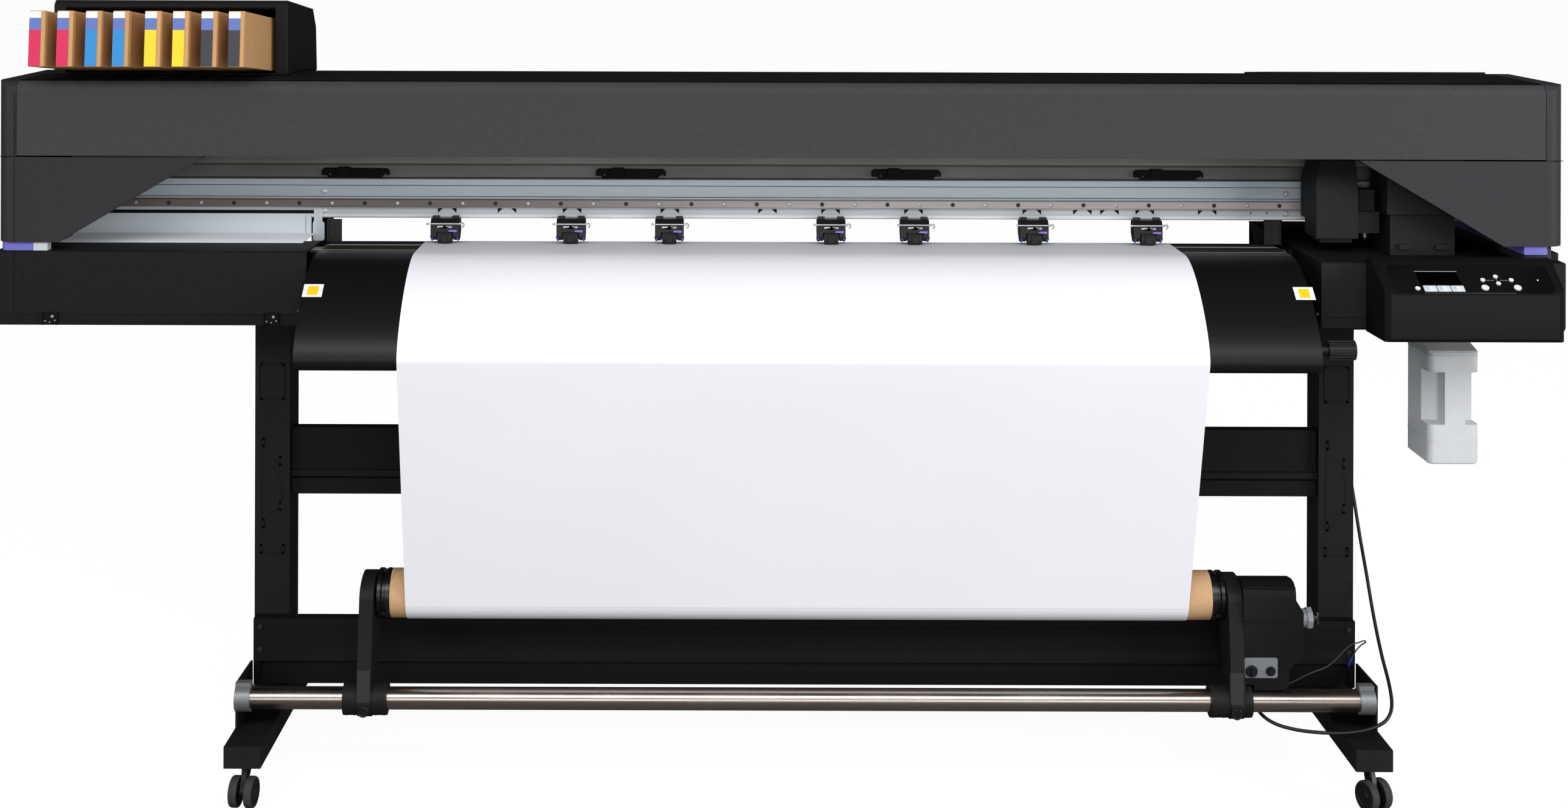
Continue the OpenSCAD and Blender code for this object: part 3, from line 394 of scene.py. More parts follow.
def roll_paper(name, colour, centre):
    """Media wound on a roll along X: its ends show the turns."""
    f = Finish(name)
    up = f.math("SUBTRACT", f.axis("Z"), centre.z * MM)
    out = f.math("SUBTRACT", f.axis("Y"), centre.y * MM)
    radius = f.math("SQRT", f.math("ADD", f.math("MULTIPLY", up, up), f.math("MULTIPLY", out, out)))
    turns = f.math("FRACT", f.math("MULTIPLY", radius, 620), 0)
    wide = f.noise(200, 3)
    wound = f.ramp(turns, [(0.0, scaled(colour, 0.82)), (0.4, colour), (1.0, colour)])
    f.colour(f.mix(f.spread(wide, 0, 0.4), wound, colour))
    f.rough(f.spread(wide, 0.4, 0.5))
    f.bump(turns, 0.05)
    return f.set(Specular_IOR_Level=0.4).material


def jug(name, colour):
    """Milky polyethylene that lets light through."""
    f = Finish(name)
    cloud = f.noise(30, 3)
    fine = f.noise(1.6, 2)
    f.colour(f.ramp(cloud, [(0.3, scaled(colour, 0.93)), (0.7, colour)]))
    f.rough(f.spread(cloud, 0.42, 0.56))
    f.bump(fine, 0.03)
    return f.set(Transmission_Weight=0.45, IOR=1.45, Subsurface_Weight=0.25, Subsurface_Scale=0.02,
                 Specular_IOR_Level=0.35).material


def gloss(name, colour, rough=0.12, specular=0.5, dust=0.25):
    """Glossy plastic or film with faint dust."""
    f = Finish(name)
    specks = f.noise(0.5, 2)
    wide = f.noise(60, 2)
    f.colour(f.ramp(specks, [(0.5, colour), (0.8, scaled(colour, 1 + dust))]))
    f.rough(f.spread(wide, rough, rough + 0.08))
    f.bump(specks, 0.004)
    return f.set(Specular_IOR_Level=specular).material


def chrome(name="bright_steel", colour=srgb(205, 205, 208), rough=0.2, metallic=0.6):
    f = Finish(name)
    fine = f.noise(0.4, 3)
    f.colour(f.ramp(fine, [(0.3, scaled(colour, 0.8)), (0.7, colour)]))
    f.rough(f.spread(fine, rough, rough + 0.15))
    f.bump(fine, 0.01)
    return f.set(Metallic=metallic).material


def cable_jacket(name, colour):
    f = Finish(name)
    fine = f.noise(1.0, 3)
    f.colour(f.ramp(fine, [(0.3, scaled(colour, 0.8)), (0.7, scaled(colour, 1.3))]))
    f.rough(f.spread(fine, 0.36, 0.5))
    f.bump(fine, 0.02)
    return f.set(Specular_IOR_Level=0.5).material


def printed(name, colour):
    """Printed label stock."""
    f = Finish(name)
    dots = f.noise(0.5, 2)
    f.colour(f.ramp(dots, [(0.3, scaled(colour, 0.9)), (0.7, scaled(colour, 1.05))]))
    f.rough(f.spread(dots, 0.42, 0.5))
    f.bump(dots, 0.008)
    return f.set(Specular_IOR_Level=0.4).material


def tube_steel(name):
    """Polished stainless tube: fine lines round it and faint smudges."""
    f = Finish(name)
    lines = f.noise(0.35, 4, (1, 60, 60))
    smudge = f.noise(45, 3, (3, 1, 1))
    colour = srgb(188, 176, 168)
    f.colour(f.ramp(lines, [(0.3, scaled(colour, 0.86)), (0.7, scaled(colour, 1.05))]))
    f.rough(f.spread(smudge, 0.2, 0.3))
    f.bump(lines, 0.006)
    return f.set(Metallic=1.0).material


def bar_paint(name):
    """Painted extrusion, grey by height in bands: the lower bands light greys, the olive bands above Z 1036 under the
    cover darkened with painted shade, and the light line at Z 1061 a painted highlight.
    """
    f = Finish(name)
    low, high = BAR_LOW.z, BAR_HIGH.z
    # below Z 1036 the paint's light greys; from Z 1036 up olive grey with painted shade under the cover, and a painted
    # highlight line at Z 1061
    greys_with_painted_shade = [
        (low, srgb(235, 235, 235)), (968, srgb(235, 235, 235)), (970, srgb(190, 197, 203)),
        (983, srgb(193, 199, 204)), (1000, srgb(190, 203, 212)), (1019, srgb(198, 211, 220)),
        (1023, srgb(203, 213, 221)), (1033, srgb(198, 208, 216)), (1036, srgb(101, 102, 98)),
        (1058, srgb(86, 86, 84)), (1061, srgb(178, 175, 163)), (1064, srgb(101, 102, 96)), (high, srgb(89, 90, 86)),
    ]
    along = f.spread(f.axis("Z"), 0, 1, low * MM, high * MM)
    stops = [((z - low) / (high - low), c) for z, c in greys_with_painted_shade]
    bands = f.ramp(along, stops)
    lines = f.noise(0.6, 4, (90, 1, 1))
    soft = f.noise(260, 2)
    streaked = f.mix(f.spread(lines, 0, 0.22), bands, (0.02, 0.02, 0.022, 1))
    f.colour(f.mix(f.spread(soft, 0, 0.12), streaked, (0.5, 0.52, 0.54, 1)))
    f.rough(f.spread(lines, 0.36, 0.5))
    f.bump(lines, 0.02)
    return f.set(Metallic=0.1).material


M = {}


def make_materials():
    M["stand_black"] = moulded("stand_black", srgb(24, 24, 24), 0.55, 0.9, 0.05, 0.2, 0.15, 1.6)
    M["beam_black"] = moulded("beam_black", srgb(18, 18, 19), 0.55, 0.9, 0.05, 0.2, 0.12, 1.6)
    M["caster_plastic"] = moulded("caster_plastic", srgb(15, 15, 16), 0.4, 1.5, 0.02, 0.15, 0.4, 1.8)
    M["caster_tread"] = rubber("caster_tread", srgb(43, 43, 44), 1.6)
    M["rail_tube"] = tube_steel("rail_tube")
    M["cast_clamp"] = cast("cast_clamp", srgb(150, 153, 155))
    M["arm_plastic"] = moulded("arm_plastic", srgb(24, 24, 25), 0.55, 1.6, 0.06, 0.2, 0.2, 1.5)
    M["hub_plastic"] = moulded("hub_plastic", srgb(13, 13, 14), 0.3, 2.0, 0.02, 0.15, 0.5, 2.2)
    M["kraft_core"] = spiral_kraft("kraft_core", srgb(196, 158, 118), CORE_AXIS)
    M["torque_grey"] = moulded("torque_grey", srgb(122, 125, 129), 0.45, 1.2, 0.04, 0.1, 0.35, 1.2)
    M["switch_black"] = moulded("switch_black", srgb(12, 12, 13), 0.32, 1.0, 0.02, 0.15, 0.5, 2.0)
    M["cable_black"] = cable_jacket("cable_black", srgb(18, 18, 19))
    M["wire_grey"] = cable_jacket("wire_grey", srgb(48, 48, 50))
    M["media_white"] = paper("media_white", (0.86, 0.87, 0.91, 1))
    M["roll_white"] = roll_paper("roll_white", (0.84, 0.84, 0.86, 1), (ROLL_LOW + ROLL_HIGH) / 2)
    M["apron_black"] = moulded("apron_black", srgb(14, 14, 15), 0.4, 1.1, 0.03, 0.16, 0.3, 1.5)
    M["platen_grey"] = brushed("platen_grey", srgb(84, 86, 88), 0.38, 0.5)
    M["knob_black"] = moulded("knob_black", srgb(20, 20, 21), 0.42, 1.2, 0.03, 0.15, 0.4, 1.8)
    M["bar_aluminium"] = bar_paint("bar_aluminium")
    M["guide_steel"] = ground_rail("guide_steel", srgb(112, 102, 98), srgb(176, 168, 166))
    M["pinch_black"] = moulded("pinch_black", srgb(15, 15, 17), 0.4, 1.4, 0.04, 0.15, 0.4, 2.0)
    M["pinch_rubber"] = rubber("pinch_rubber", srgb(32, 32, 33), 0.5)
    M["grit_steel"] = cast("grit_steel", srgb(150, 150, 152), 0.5, 0.8)
    M["carriage_black"] = moulded("carriage_black", srgb(29, 29, 30), 0.6, 1.2, 0.05, 0.15, 0.15, 1.4)
    M["cutter_black"] = moulded("cutter_black", srgb(25, 25, 27), 0.5, 1.2, 0.04, 0.15, 0.2, 1.6)
    M["blade_metal"] = brushed("blade_metal", srgb(120, 121, 125), 0.28, 0.9, 0.3, 20, 0.12, "Z")
    M["station_black"] = moulded("station_black", srgb(20, 20, 21), 0.5, 1.4, 0.05, 0.15, 0.3, 1.8)
    M["cover_charcoal"] = moulded("cover_charcoal", srgb(57, 57, 59), 0.6, 1.5, 0.07, 0.16, 0.16, 1.4)
    # side covers: the cover's charcoal darkened with painted shade, the left one more than the right
    M["corner_left_painted_shade"] = moulded("corner_left_painted_shade", srgb(45, 44, 46), 0.6, 1.5, 0.07, 0.16, 0.16, 1.4)
    M["corner_right_painted_shade"] = moulded("corner_right_painted_shade", srgb(52, 51, 54), 0.6, 1.5, 0.07, 0.16, 0.16, 1.4)
    M["motor_black"] = moulded("motor_black", srgb(16, 16, 17), 0.55, 1.6, 0.06, 0.2, 0.13, 1.6)
    M["panel_black"] = moulded("panel_black", srgb(18, 18, 19), 0.55, 1.4, 0.06, 0.2, 0.12, 1.6)
    M["base_grey"] = moulded("base_grey", srgb(28, 28, 29), 0.55, 1.4, 0.06, 0.2, 0.15, 1.6)
    M["cover_black"] = moulded("cover_black", srgb(23, 23, 24), 0.55, 1.4, 0.06, 0.2, 0.15, 1.6)
    M["roof_black"] = moulded("roof_black", srgb(25, 25, 27), 0.75, 1.4, 0.06, 0.2, 0.05, 1.5)
    M["base_black"] = moulded("base_black", srgb(21, 21, 22), 0.55, 1.4, 0.06, 0.2, 0.14, 1.6)
    M["panel_gloss"] = gloss("panel_gloss", srgb(10, 10, 11), 0.14)
    M["key_white"] = moulded("key_white", srgb(222, 226, 230), 0.4, 1.0, 0.01, 0.03, 0.4, 1.0)
    M["carton_magenta"] = kraft("carton_magenta", srgb(201, 155, 104))
    M["carton_cyan"] = kraft("carton_cyan", srgb(198, 152, 102))
    M["carton_yellow"] = kraft("carton_yellow", srgb(204, 158, 106))
    M["carton_black"] = kraft("carton_black", srgb(200, 154, 104))
    M["bottle_white"] = jug("bottle_white", (0.95, 0.97, 0.99, 1))
    M["label_magenta"] = printed("label_magenta", srgb(214, 38, 88))
    M["label_cyan"] = printed("label_cyan", srgb(44, 138, 205))
    M["label_yellow"] = printed("label_yellow", srgb(250, 214, 40))
    M["label_black"] = printed("label_black", srgb(58, 60, 68))
    M["label_band"] = printed("label_band", srgb(96, 118, 186))
    M["label_white"] = printed("label_white", srgb(238, 238, 242))
    M["accent_violet"] = moulded("accent_violet", srgb(104, 102, 180), 0.45, 1.2, 0.03, 0.06, 0.35, 1.15)
    M["sheet_grey"] = brushed("sheet_grey", srgb(196, 204, 210), 0.42, 0.15, 0.6, 80, 0.05)
    M["ledge_grey"] = brushed("ledge_grey", srgb(236, 240, 244), 0.5, 0.0, 0.3, 80, 0.05)
    M["bright_steel"] = chrome()
    M["dark_steel"] = chrome("dark_steel", srgb(64, 62, 60), 0.3)
    M["gold_line"] = brushed("gold_line", srgb(205, 190, 130), 0.3, 0.8)
    M["screen_glass"] = gloss("screen_glass", srgb(1, 1, 1), 0.3, 0.04)
    M["key_plate"] = moulded("key_plate", srgb(200, 208, 214), 0.42, 1.0, 0.01, 0.05, 0.4, 1.1)
    M["print_grey"] = printed("print_grey", srgb(150, 152, 156))
    M["control_grey"] = printed("control_grey", srgb(112, 116, 121))
    M["crimp_blue"] = gloss("crimp_blue", srgb(24, 60, 150), 0.3)
    M["violet_lever"] = gloss("violet_lever", srgb(126, 100, 190), 0.25)
    M["magenta_tint"] = gloss("magenta_tint", srgb(150, 20, 70), 0.3)
    M["sticker_yellow"] = printed("sticker_yellow", srgb(245, 205, 20))
    # lighter grey: painted light on the arms' upward-leaning lower segment
    M["arm_segment_painted_light"] = moulded("arm_segment_painted_light", srgb(42, 43, 44), 0.55, 1.4, 0.05, 0.12, 0.2, 1.3)
    M["shade_black"] = moulded("shade_black", srgb(8, 8, 8), 0.7, 1.5, 0.04, 0.2, 0.15, 1.4)


# ---------- pieces ----------

class Piece:
    """Closed shapes in millimetres, gathered into one object."""

    def __init__(self, name):
        self.name = name
        self.bm = bmesh.new()

    def solid(self, points, faces):
        verts = [self.bm.verts.new(Vector(p) * MM) for p in points]
        for face in faces:
            self.bm.faces.new([verts[i] for i in face])
        return self

    def prism(self, axis, outline, start, end):
        """outline is in the two other axes: (y, z) along X, (x, z) along Y, (x, y) along Z."""
        n = len(outline)
        place = {"X": lambda u, v, w: (w, u, v), "Y": lambda u, v, w: (u, w, v), "Z": lambda u, v, w: (u, v, w)}[axis]
        points = [place(u, v, start) for u, v in outline] + [place(u, v, end) for u, v in outline]
        sides = [(i, (i + 1) % n, n + (i + 1) % n, n + i) for i in range(n)]
        return self.solid(points, sides + [tuple(range(n))[::-1], tuple(range(n, 2 * n))])

    def box(self, x, y, z):
        return self.prism("Z", [(x[0], y[0]), (x[1], y[0]), (x[1], y[1]), (x[0], y[1])], z[0], z[1])

    def lathe(self, axis, centre, profile, steps=32, heading=0):
        """profile is (along, radius) pairs. It starts and ends on the axis, or else closes on itself.
        heading swings the axis about Z, in degrees."""
        turn = {"X": lambda a, r, c, s: (a, r * c, r * s), "Y": lambda a, r, c, s: (r * s, a, r * c),
                "Z": lambda a, r, c, s: (r * c, r * s, a)}[axis]
        base = Vector(centre)
        swing = Matrix.Rotation(math.radians(heading), 3, "Z")
        rings = []
        for along, radius in profile:
            if radius <= 0:
                rings.append([self.bm.verts.new((base + swing @ Vector(turn(along, 0, 1, 0))) * MM)])
            else:
                angles = [2 * math.pi * k / steps for k in range(steps)]
                rings.append([
                    self.bm.verts.new((base + swing @ Vector(turn(along, radius, math.cos(t), math.sin(t)))) * MM)
                    for t in angles
                ])
        closed = profile[0][1] > 0
        pairs = list(zip(rings, rings[1:])) + ([(rings[-1], rings[0])] if closed else [])
        for first, second in pairs:
            for k in range(steps):
                j = (k + 1) % steps
                quad = [first[k % len(first)], first[j % len(first)], second[j % len(second)], second[k % len(second)]]
                corners = list(dict.fromkeys(quad))
                if len(corners) > 2:
                    self.bm.faces.new(corners)
        return self

    def sweep(self, route, radius, steps=10):
        """Round bar along a route of points."""
        points = [Vector(p) for p in route]
        rings = []
        for i, p in enumerate(points):
            d = (points[min(i + 1, len(points) - 1)] - points[max(i - 1, 0)]).normalized()
            side = d.cross(Vector((0.31, 0.2, 0.93))).normalized()
            up = d.cross(side)
            r = radius[i] if isinstance(radius, (list, tuple)) else radius
            rings.append([
                self.bm.verts.new((p + (side * math.cos(t) + up * math.sin(t)) * r) * MM)
                for t in [2 * math.pi * k / steps for k in range(steps)]
            ])
        for first, second in zip(rings, rings[1:]):
            for k in range(steps):
                j = (k + 1) % steps
                self.bm.faces.new([first[k], first[j], second[j], second[k]])
        self.bm.faces.new(rings[0][::-1])
        self.bm.faces.new(rings[-1])
        return self

    def screw(self, x, y, z, radius=3.0, height=1.6, steps=20):
        """Pan head that faces the front, with a socket."""
        profile = [(0.6, 0), (0.6, radius), (-height * 0.45, radius), (-height, radius * 0.72), (-height, radius * 0.42),
                   (-height * 0.35, radius * 0.38), (-height * 0.35, 0)]
        return self.lathe("Y", (x, y, z), profile, steps)

    def done(self, material, body="machine", bevel=0.0, segments=2, slot=None, smooth=35, replaces=()):
        bmesh.ops.recalc_face_normals(self.bm, faces=self.bm.faces)
        mesh = bpy.data.meshes.new(self.name)
        self.bm.to_mesh(mesh)
        self.bm.free()
        obj = bpy.data.objects.new(self.name, mesh)
        bpy.context.scene.collection.objects.link(obj)
        mesh.materials.append(M[material])
        shade(mesh, smooth)
        if bevel:
            add_bevel(obj, bevel, segments)
        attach(obj, body)
        if replaces:
            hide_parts(*replaces)
        return obj


def shade(mesh, angle):
    mesh.polygons.foreach_set("use_smooth", [True] * len(mesh.polygons))
    mesh.set_sharp_from_angle(angle=math.radians(angle))


def add_bevel(obj, width, segments=2):
    bevel = obj.modifiers.new("bevel", "BEVEL")
    bevel.width = width * MM
    bevel.segments = segments
    bevel.limit_method = "ANGLE"
    bevel.angle_limit = math.radians(38)
    bevel.harden_normals = True


def soften_node(name, material, bevel=0.6, segments=2, smooth=32):
    """Gives a CAD node its finish, and rounds its edges without changing its mesh."""
    obj = NODES[name]
    obj.data.materials.clear()
    obj.data.materials.append(M[material])
    custom = obj.data.attributes.get("custom_normal")
    if custom:
        obj.data.attributes.remove(custom)
    shade(obj.data, smooth)
    weld = obj.modifiers.new("weld", "WELD")
    weld.merge_threshold = 0.00001
    group = soft_group(smooth)
    shading = obj.modifiers.new("shading", "NODES")
    shading.node_group = group
    if bevel:
        add_bevel(obj, bevel, segments)


def soft_group(angle):
    """Node group that shades smooth, with sharp edges where faces meet at more than angle."""
    name = f"shade_{angle}"
    if name in bpy.data.node_groups:
        return bpy.data.node_groups[name]
    group = bpy.data.node_groups.new(name, "GeometryNodeTree")
    group.interface.new_socket("Geometry", in_out="INPUT", socket_type="NodeSocketGeometry")
    group.interface.new_socket("Geometry", in_out="OUTPUT", socket_type="NodeSocketGeometry")
    nodes, links = group.nodes, group.links
    start, end = nodes.new("NodeGroupInput"), nodes.new("NodeGroupOutput")
    faces = nodes.new("GeometryNodeSetShadeSmooth")
    edges = nodes.new("GeometryNodeSetShadeSmooth")
    edges.domain = "EDGE"
    angles = nodes.new("GeometryNodeInputMeshEdgeAngle")
    flat = nodes.new("FunctionNodeCompare")
    flat.operation = "LESS_EQUAL"
    flat.inputs["B"].default_value = math.radians(angle)
    links.new(start.outputs[0], faces.inputs["Geometry"])
    links.new(faces.outputs[0], edges.inputs["Geometry"])
    links.new(angles.outputs["Unsigned Angle"], flat.inputs["A"])
    links.new(flat.outputs["Result"], edges.inputs["Shade Smooth"])
    links.new(edges.outputs[0], end.inputs[0])
    return group


def soften_nodes():
    """Finish of every CAD node that stays visible."""
    for name in ("left_foot", "right_foot", "left_leg", "right_leg", "supply_brackets"):
        soften_node(name, "stand_black", 0.8)
    for name in ("middle_beam", "lower_beam"):
        soften_node(name, "beam_black", 0.8)
    soften_node("take_up_rail", "rail_tube", 0.5)
    soften_node("rail_clamps", "cast_clamp", 1.0)
    for name in ("left_arm", "right_arm"):
        soften_node(name, "arm_plastic", 1.6, 3)
    for name in ("left_hub", "right_hub"):
        soften_node(name, "hub_plastic", 0.5)
    soften_node("take_up_core", "kraft_core", 0.6)
    soften_node("motor_cover", "motor_black", 1.0)
    soften_node("torque_knob", "torque_grey", 0.6)
    soften_node("direction_toggle", "switch_black", 0.4)
    soften_node("power_button", "switch_black", 0.5)
    soften_node("supply_roll", "roll_white", 0.5)
    soften_node("aprons", "apron_black", 0.4)
    soften_node("chassis", "shade_black", 0.5)
    soften_node("platen", "platen_grey", 0.3)
    soften_node("hand_knob", "knob_black", 0, smooth=18)
    soften_node("y_bar", "bar_aluminium", 0.5)
    soften_node("linear_rail", "guide_steel", 0.4)
    soften_node("pinch_arms", "pinch_black", 0.8)
    soften_node("pinch_rollers", "pinch_rubber", 0.5)
    soften_node("grit_roller", "grit_steel", 0.3)
    soften_node("print_carriage", "carriage_black", 1.5, 3)
    soften_node("cutter_head", "cutter_black", 0.8)
    soften_node("blade_holder", "blade_metal", 0.5)
    soften_node("capping_station", "station_black", 1.2)
    soften_node("front_cover", "cover_charcoal", 0.8)
    soften_node("top_cover", "roof_black", 0.8)
    soften_node("left_side_cover", "corner_left_painted_shade", 1.4)
    soften_node("right_side_cover", "corner_right_painted_shade", 1.4)
    soften_node("left_base_cover", "base_black", 1.6)
    soften_node("right_base_cover", "base_grey", 1.6)
    soften_node("panel_housing", "panel_black", 3.0, 3)
    soften_node("panel_plate", "panel_gloss", 0.4)
    for name in ("function_keys", "arrow_keys", "select_keys"):
        soften_node(name, "key_white", 0.7, 3)
    soften_node("ink_housing", "cover_black", 3.0, 3)
    soften_node("waste_bottle", "bottle_white", 3.0, 3)


# ---------- cords ----------

def smooth_route(points, steps):
    """Points of a smooth curve through a route."""
    route = [Vector(p) for p in points]
    made = []
    for i in range(len(route) - 1):
        a, b, c, d = route[max(i - 1, 0)], route[i], route[i + 1], route[min(i + 2, len(route) - 1)]
        for k in range(steps):
            t = k / steps
            made.append(0.5 * (2 * b + (c - a) * t + (2 * a - 5 * b + 4 * c - d) * t * t
                               + (3 * b - a - 3 * c + d) * t * t * t))
    return made + [route[-1]]


CABLE_ROUTE = [
    (1010, 60, 789.7), (1011, 60, 750), (1020, 52, 690), (1035, 38, 620), (1048, 20, 550),
    (1057, -10, 477), (1059, -56, 395), (1058, -100, 340), (1057, -146, 280), (1057, -192, 228),
    (1058, -234, 188), (1054, -262, 162), (1042, -279, 146), (1024, -286, 136), (998, -288, 128),
    (962, -286, 123), (924, -281, 122), (888, -272, 123), (856, -260, 128), (836, -243, 137),
    (826, -226, 152), (823, -213, 168), (823, -208, 186.7),
]
WIRE_ROUTE = [
    (845, -196, 186.7), (846, -195, 174), (853, -191, 163), (868, -184, 160), (900, -179, 170),
    (937, -170, 184), (968, -161, 192), (987, -155, 203), (1004, -150, 218), (1018, -146, 227),
    (1033, -142, 230), (1043, -139, 232), (1046, -136, 228), (1039, -133, 222), (1031, -131, 212),
    (1025, -129, 200), (1021, -127, 190), (1019, -124, 182), (1019, -122.3, 176),
]


def make_cord(name, route, radius, material, node):
    points = [p * MM for p in smooth_route(route, 6)]
    curve = bpy.data.curves.new(name, "CURVE")
    curve.dimensions = "3D"
    curve.bevel_depth = radius * MM
    curve.bevel_resolution = 4
    curve.use_fill_caps = True
    spline = curve.splines.new("POLY")
    spline.points.add(len(points) - 1)
    for target, p in zip(spline.points, points):
        target.co = (*p, 1)
    curve.materials.append(M[material])
    cord = bpy.data.objects.new(name, curve)
    bpy.context.scene.collection.objects.link(cord)
    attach(cord, "machine")
    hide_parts(node)
    return cord


def relief(name, route, start_radius, end_radius, material):
    """Ribbed sleeve that tapers along the first stretch of a cord."""
    points = smooth_route(route, 5)
    n = len(points) - 1
    radii = [start_radius + (end_radius - start_radius) * i / n + (0.5 if i % 2 else 0) for i in range(n + 1)]
    return Piece(name).sweep(points, radii, 16).done(material, smooth=50)


def make_cords():
    sleeves = [
        relief("cable_sleeve_top", CABLE_ROUTE[:2], 6.5, 3.6, "cable_black"),
        relief("cable_sleeve_motor", CABLE_ROUTE[:-3:-1], 5.5, 3.5, "cable_black"),
    ]
    make_cord("take_up_lead", CABLE_ROUTE, 3, "cable_black", "take_up_cable")
    lug = smooth_route(WIRE_ROUTE[-4:], 4)
    crimp = [
        relief("wire_sleeve", WIRE_ROUTE[:2], 3.0, 1.6, "wire_grey"),
        Piece("wire_crimp").sweep(lug[1:9], [1.9, 2.3, 2.3, 2.0, 2.0, 2.3, 2.3, 1.7], 14).done("crimp_blue", smooth=50),
    ]
    make_cord("earth_wire", WIRE_ROUTE, 1.2, "wire_grey", "ground_wire")


# ---------- media ----------

def cubic(p, t):
    a, b, c, d = (Vector(q) for q in p)
    return (1 - t) ** 3 * a + 3 * t * (1 - t) ** 2 * b + 3 * t * t * (1 - t) * c + t ** 3 * d


def web_line():
    """Line of the web in (y, z), from the supply roll over the bed to the take-up core."""
    front, rear, top = BED_LOW.y - 0.4, REAR_START, BED_HIGH.z
    bulge, low, turn = APRON_LOW.y, APRON_LOW.z, 20
    rear_y, rear_low = 190, 795
    supply = (ROLL_LOW + ROLL_HIGH) / 2
    supply_radius = (ROLL_HIGH.z - ROLL_LOW.z) / 2
    wrap = CORE_RADIUS + 1.4
    back = [(rear, top), (rear + 70, top), (rear_y, top - 40), (rear_y, rear_low)]
    apron = [(front, top), (front - 90, top), (bulge, low + turn + 45), (bulge, low + turn)]
    line = [Vector((supply.y - supply_radius - 0.6, supply.z + 6))]
    line += [cubic(back, 1 - i / 16) for i in range(17)]
    line += [cubic(apron, i / 24) for i in range(25)]
    for angle in (185, 190, 193):
        a = math.radians(angle)
        line.append(Vector((bulge + turn * (1 + math.cos(a)), low + turn * (1 + math.sin(a)))))
    end = Vector((CORE_AXIS.y - wrap * 0.966, CORE_AXIS.z - wrap * 0.259))
    start = line[-1]
    line += [start.lerp(end, i / 10) for i in range(1, 11)]
    return line


def beside(line, distance):
    made = []
    for i, p in enumerate(line):
        d = (line[min(i + 1, len(line) - 1)] - line[max(i - 1, 0)]).normalized()
        made.append(p + Vector((-d.y, d.x)) * distance)
    return made


def make_web():
    """The loaded media, a thin sheet with faint waves in its free stretch."""
    line = web_line()
    gap, thick, columns = -0.3, 0.3, 28
    inner, outer = beside(line, gap), beside(line, gap - thick)
    x0, x1 = WEB_LOW.x, WEB_HIGH.x
    hang = len(line) - 11
    points = []
    for side, face in ((0, inner), (1, outer)):
        for i, p in enumerate(face):
            share = max(0.0, (i - hang) / (len(line) - 1 - hang))
            free = math.sin(math.pi * share)
            for k in range(columns + 1):
                x = x0 + (x1 - 12 * share - x0) * k / columns
                wave = free * (1.1 * math.sin(x / 210 + 0.6) + 0.8 * math.sin(x / 97 + share * 2))
                points.append(Vector((x, p.x + wave, p.y)) * MM)
    rows, cols = len(line), columns + 1
    half = rows * cols
    faces = []
    for i in range(rows - 1):
        for k in range(columns):
            a, b = i * cols + k, (i + 1) * cols + k
            faces.append((a, a + 1, b + 1, b))
            faces.append((half + a, half + b, half + b + 1, half + a + 1))
    for i in range(rows - 1):
        for k in (0, columns):
            a, b = i * cols + k, (i + 1) * cols + k
            faces.append((a, b, half + b, half + a) if k == 0 else (a, half + a, half + b, b))
    for i in (0, rows - 1):
        for k in range(columns):
            a = i * cols + k
            faces.append((a, half + a, half + a + 1, a + 1) if i == 0 else (a, a + 1, half + a + 1, half + a))
    mesh = bpy.data.meshes.new("media_sheet")
    mesh.from_pydata(points, [], faces)
    mesh.materials.append(M["media_white"])
    shade(mesh, 60)
    web = bpy.data.objects.new("media_sheet", mesh)
    bpy.context.scene.collection.objects.link(web)
    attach(web, "machine")
    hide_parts("media_web")


def make_wound_media():
    """The turns already wound on the take-up core."""
    r0, r1 = CORE_RADIUS + 0.1, CORE_RADIUS + 1.3
    x0, x1 = WEB_LOW.x, WEB_HIGH.x - 12
    centre = (0, CORE_AXIS.y, CORE_AXIS.z)
    profile = [(x0, r0), (x0, r1), (x0 + 400, r1), (x1 - 400, r1), (x1, r1), (x1, r0)]
    Piece("wound_media").lathe("X", centre, profile, 96).done("media_white", "core", slot="media_white", smooth=30)


# ---------- covers ----------

def make_accents():
    """Violet bands between the upper and lower covers."""
    z0, z1 = LEFT_BASE_HIGH.z - 0.6, 944.8
    for name, inner, outer in (("accent_left", -1310, -1368), ("accent_right", 1303, 1350)):
        side = 1 if outer > inner else -1
        front, rear = -200, 204
        outline = [(inner, front), (outer - side * 14, front)]
        for k in range(1, 6):
            a = math.radians(90 * k / 5)
            outline.append((outer - side * (14 - 14 * math.sin(a)), front + 14 - 14 * math.cos(a)))
        outline += [(outer, rear), (inner, rear)]
        Piece(name).prism("Z", outline, z0, z1).done("accent_violet", bevel=0.8)
    corner = Piece("left_corner_tab")
    corner.prism("Z", [(-1309.8, front - 1), (-1285, front - 1), (-1285, front + 20), (-1309.8, front + 20)], z0, z1 - 0.4)
    corner.done("sheet_grey", bevel=0.6)


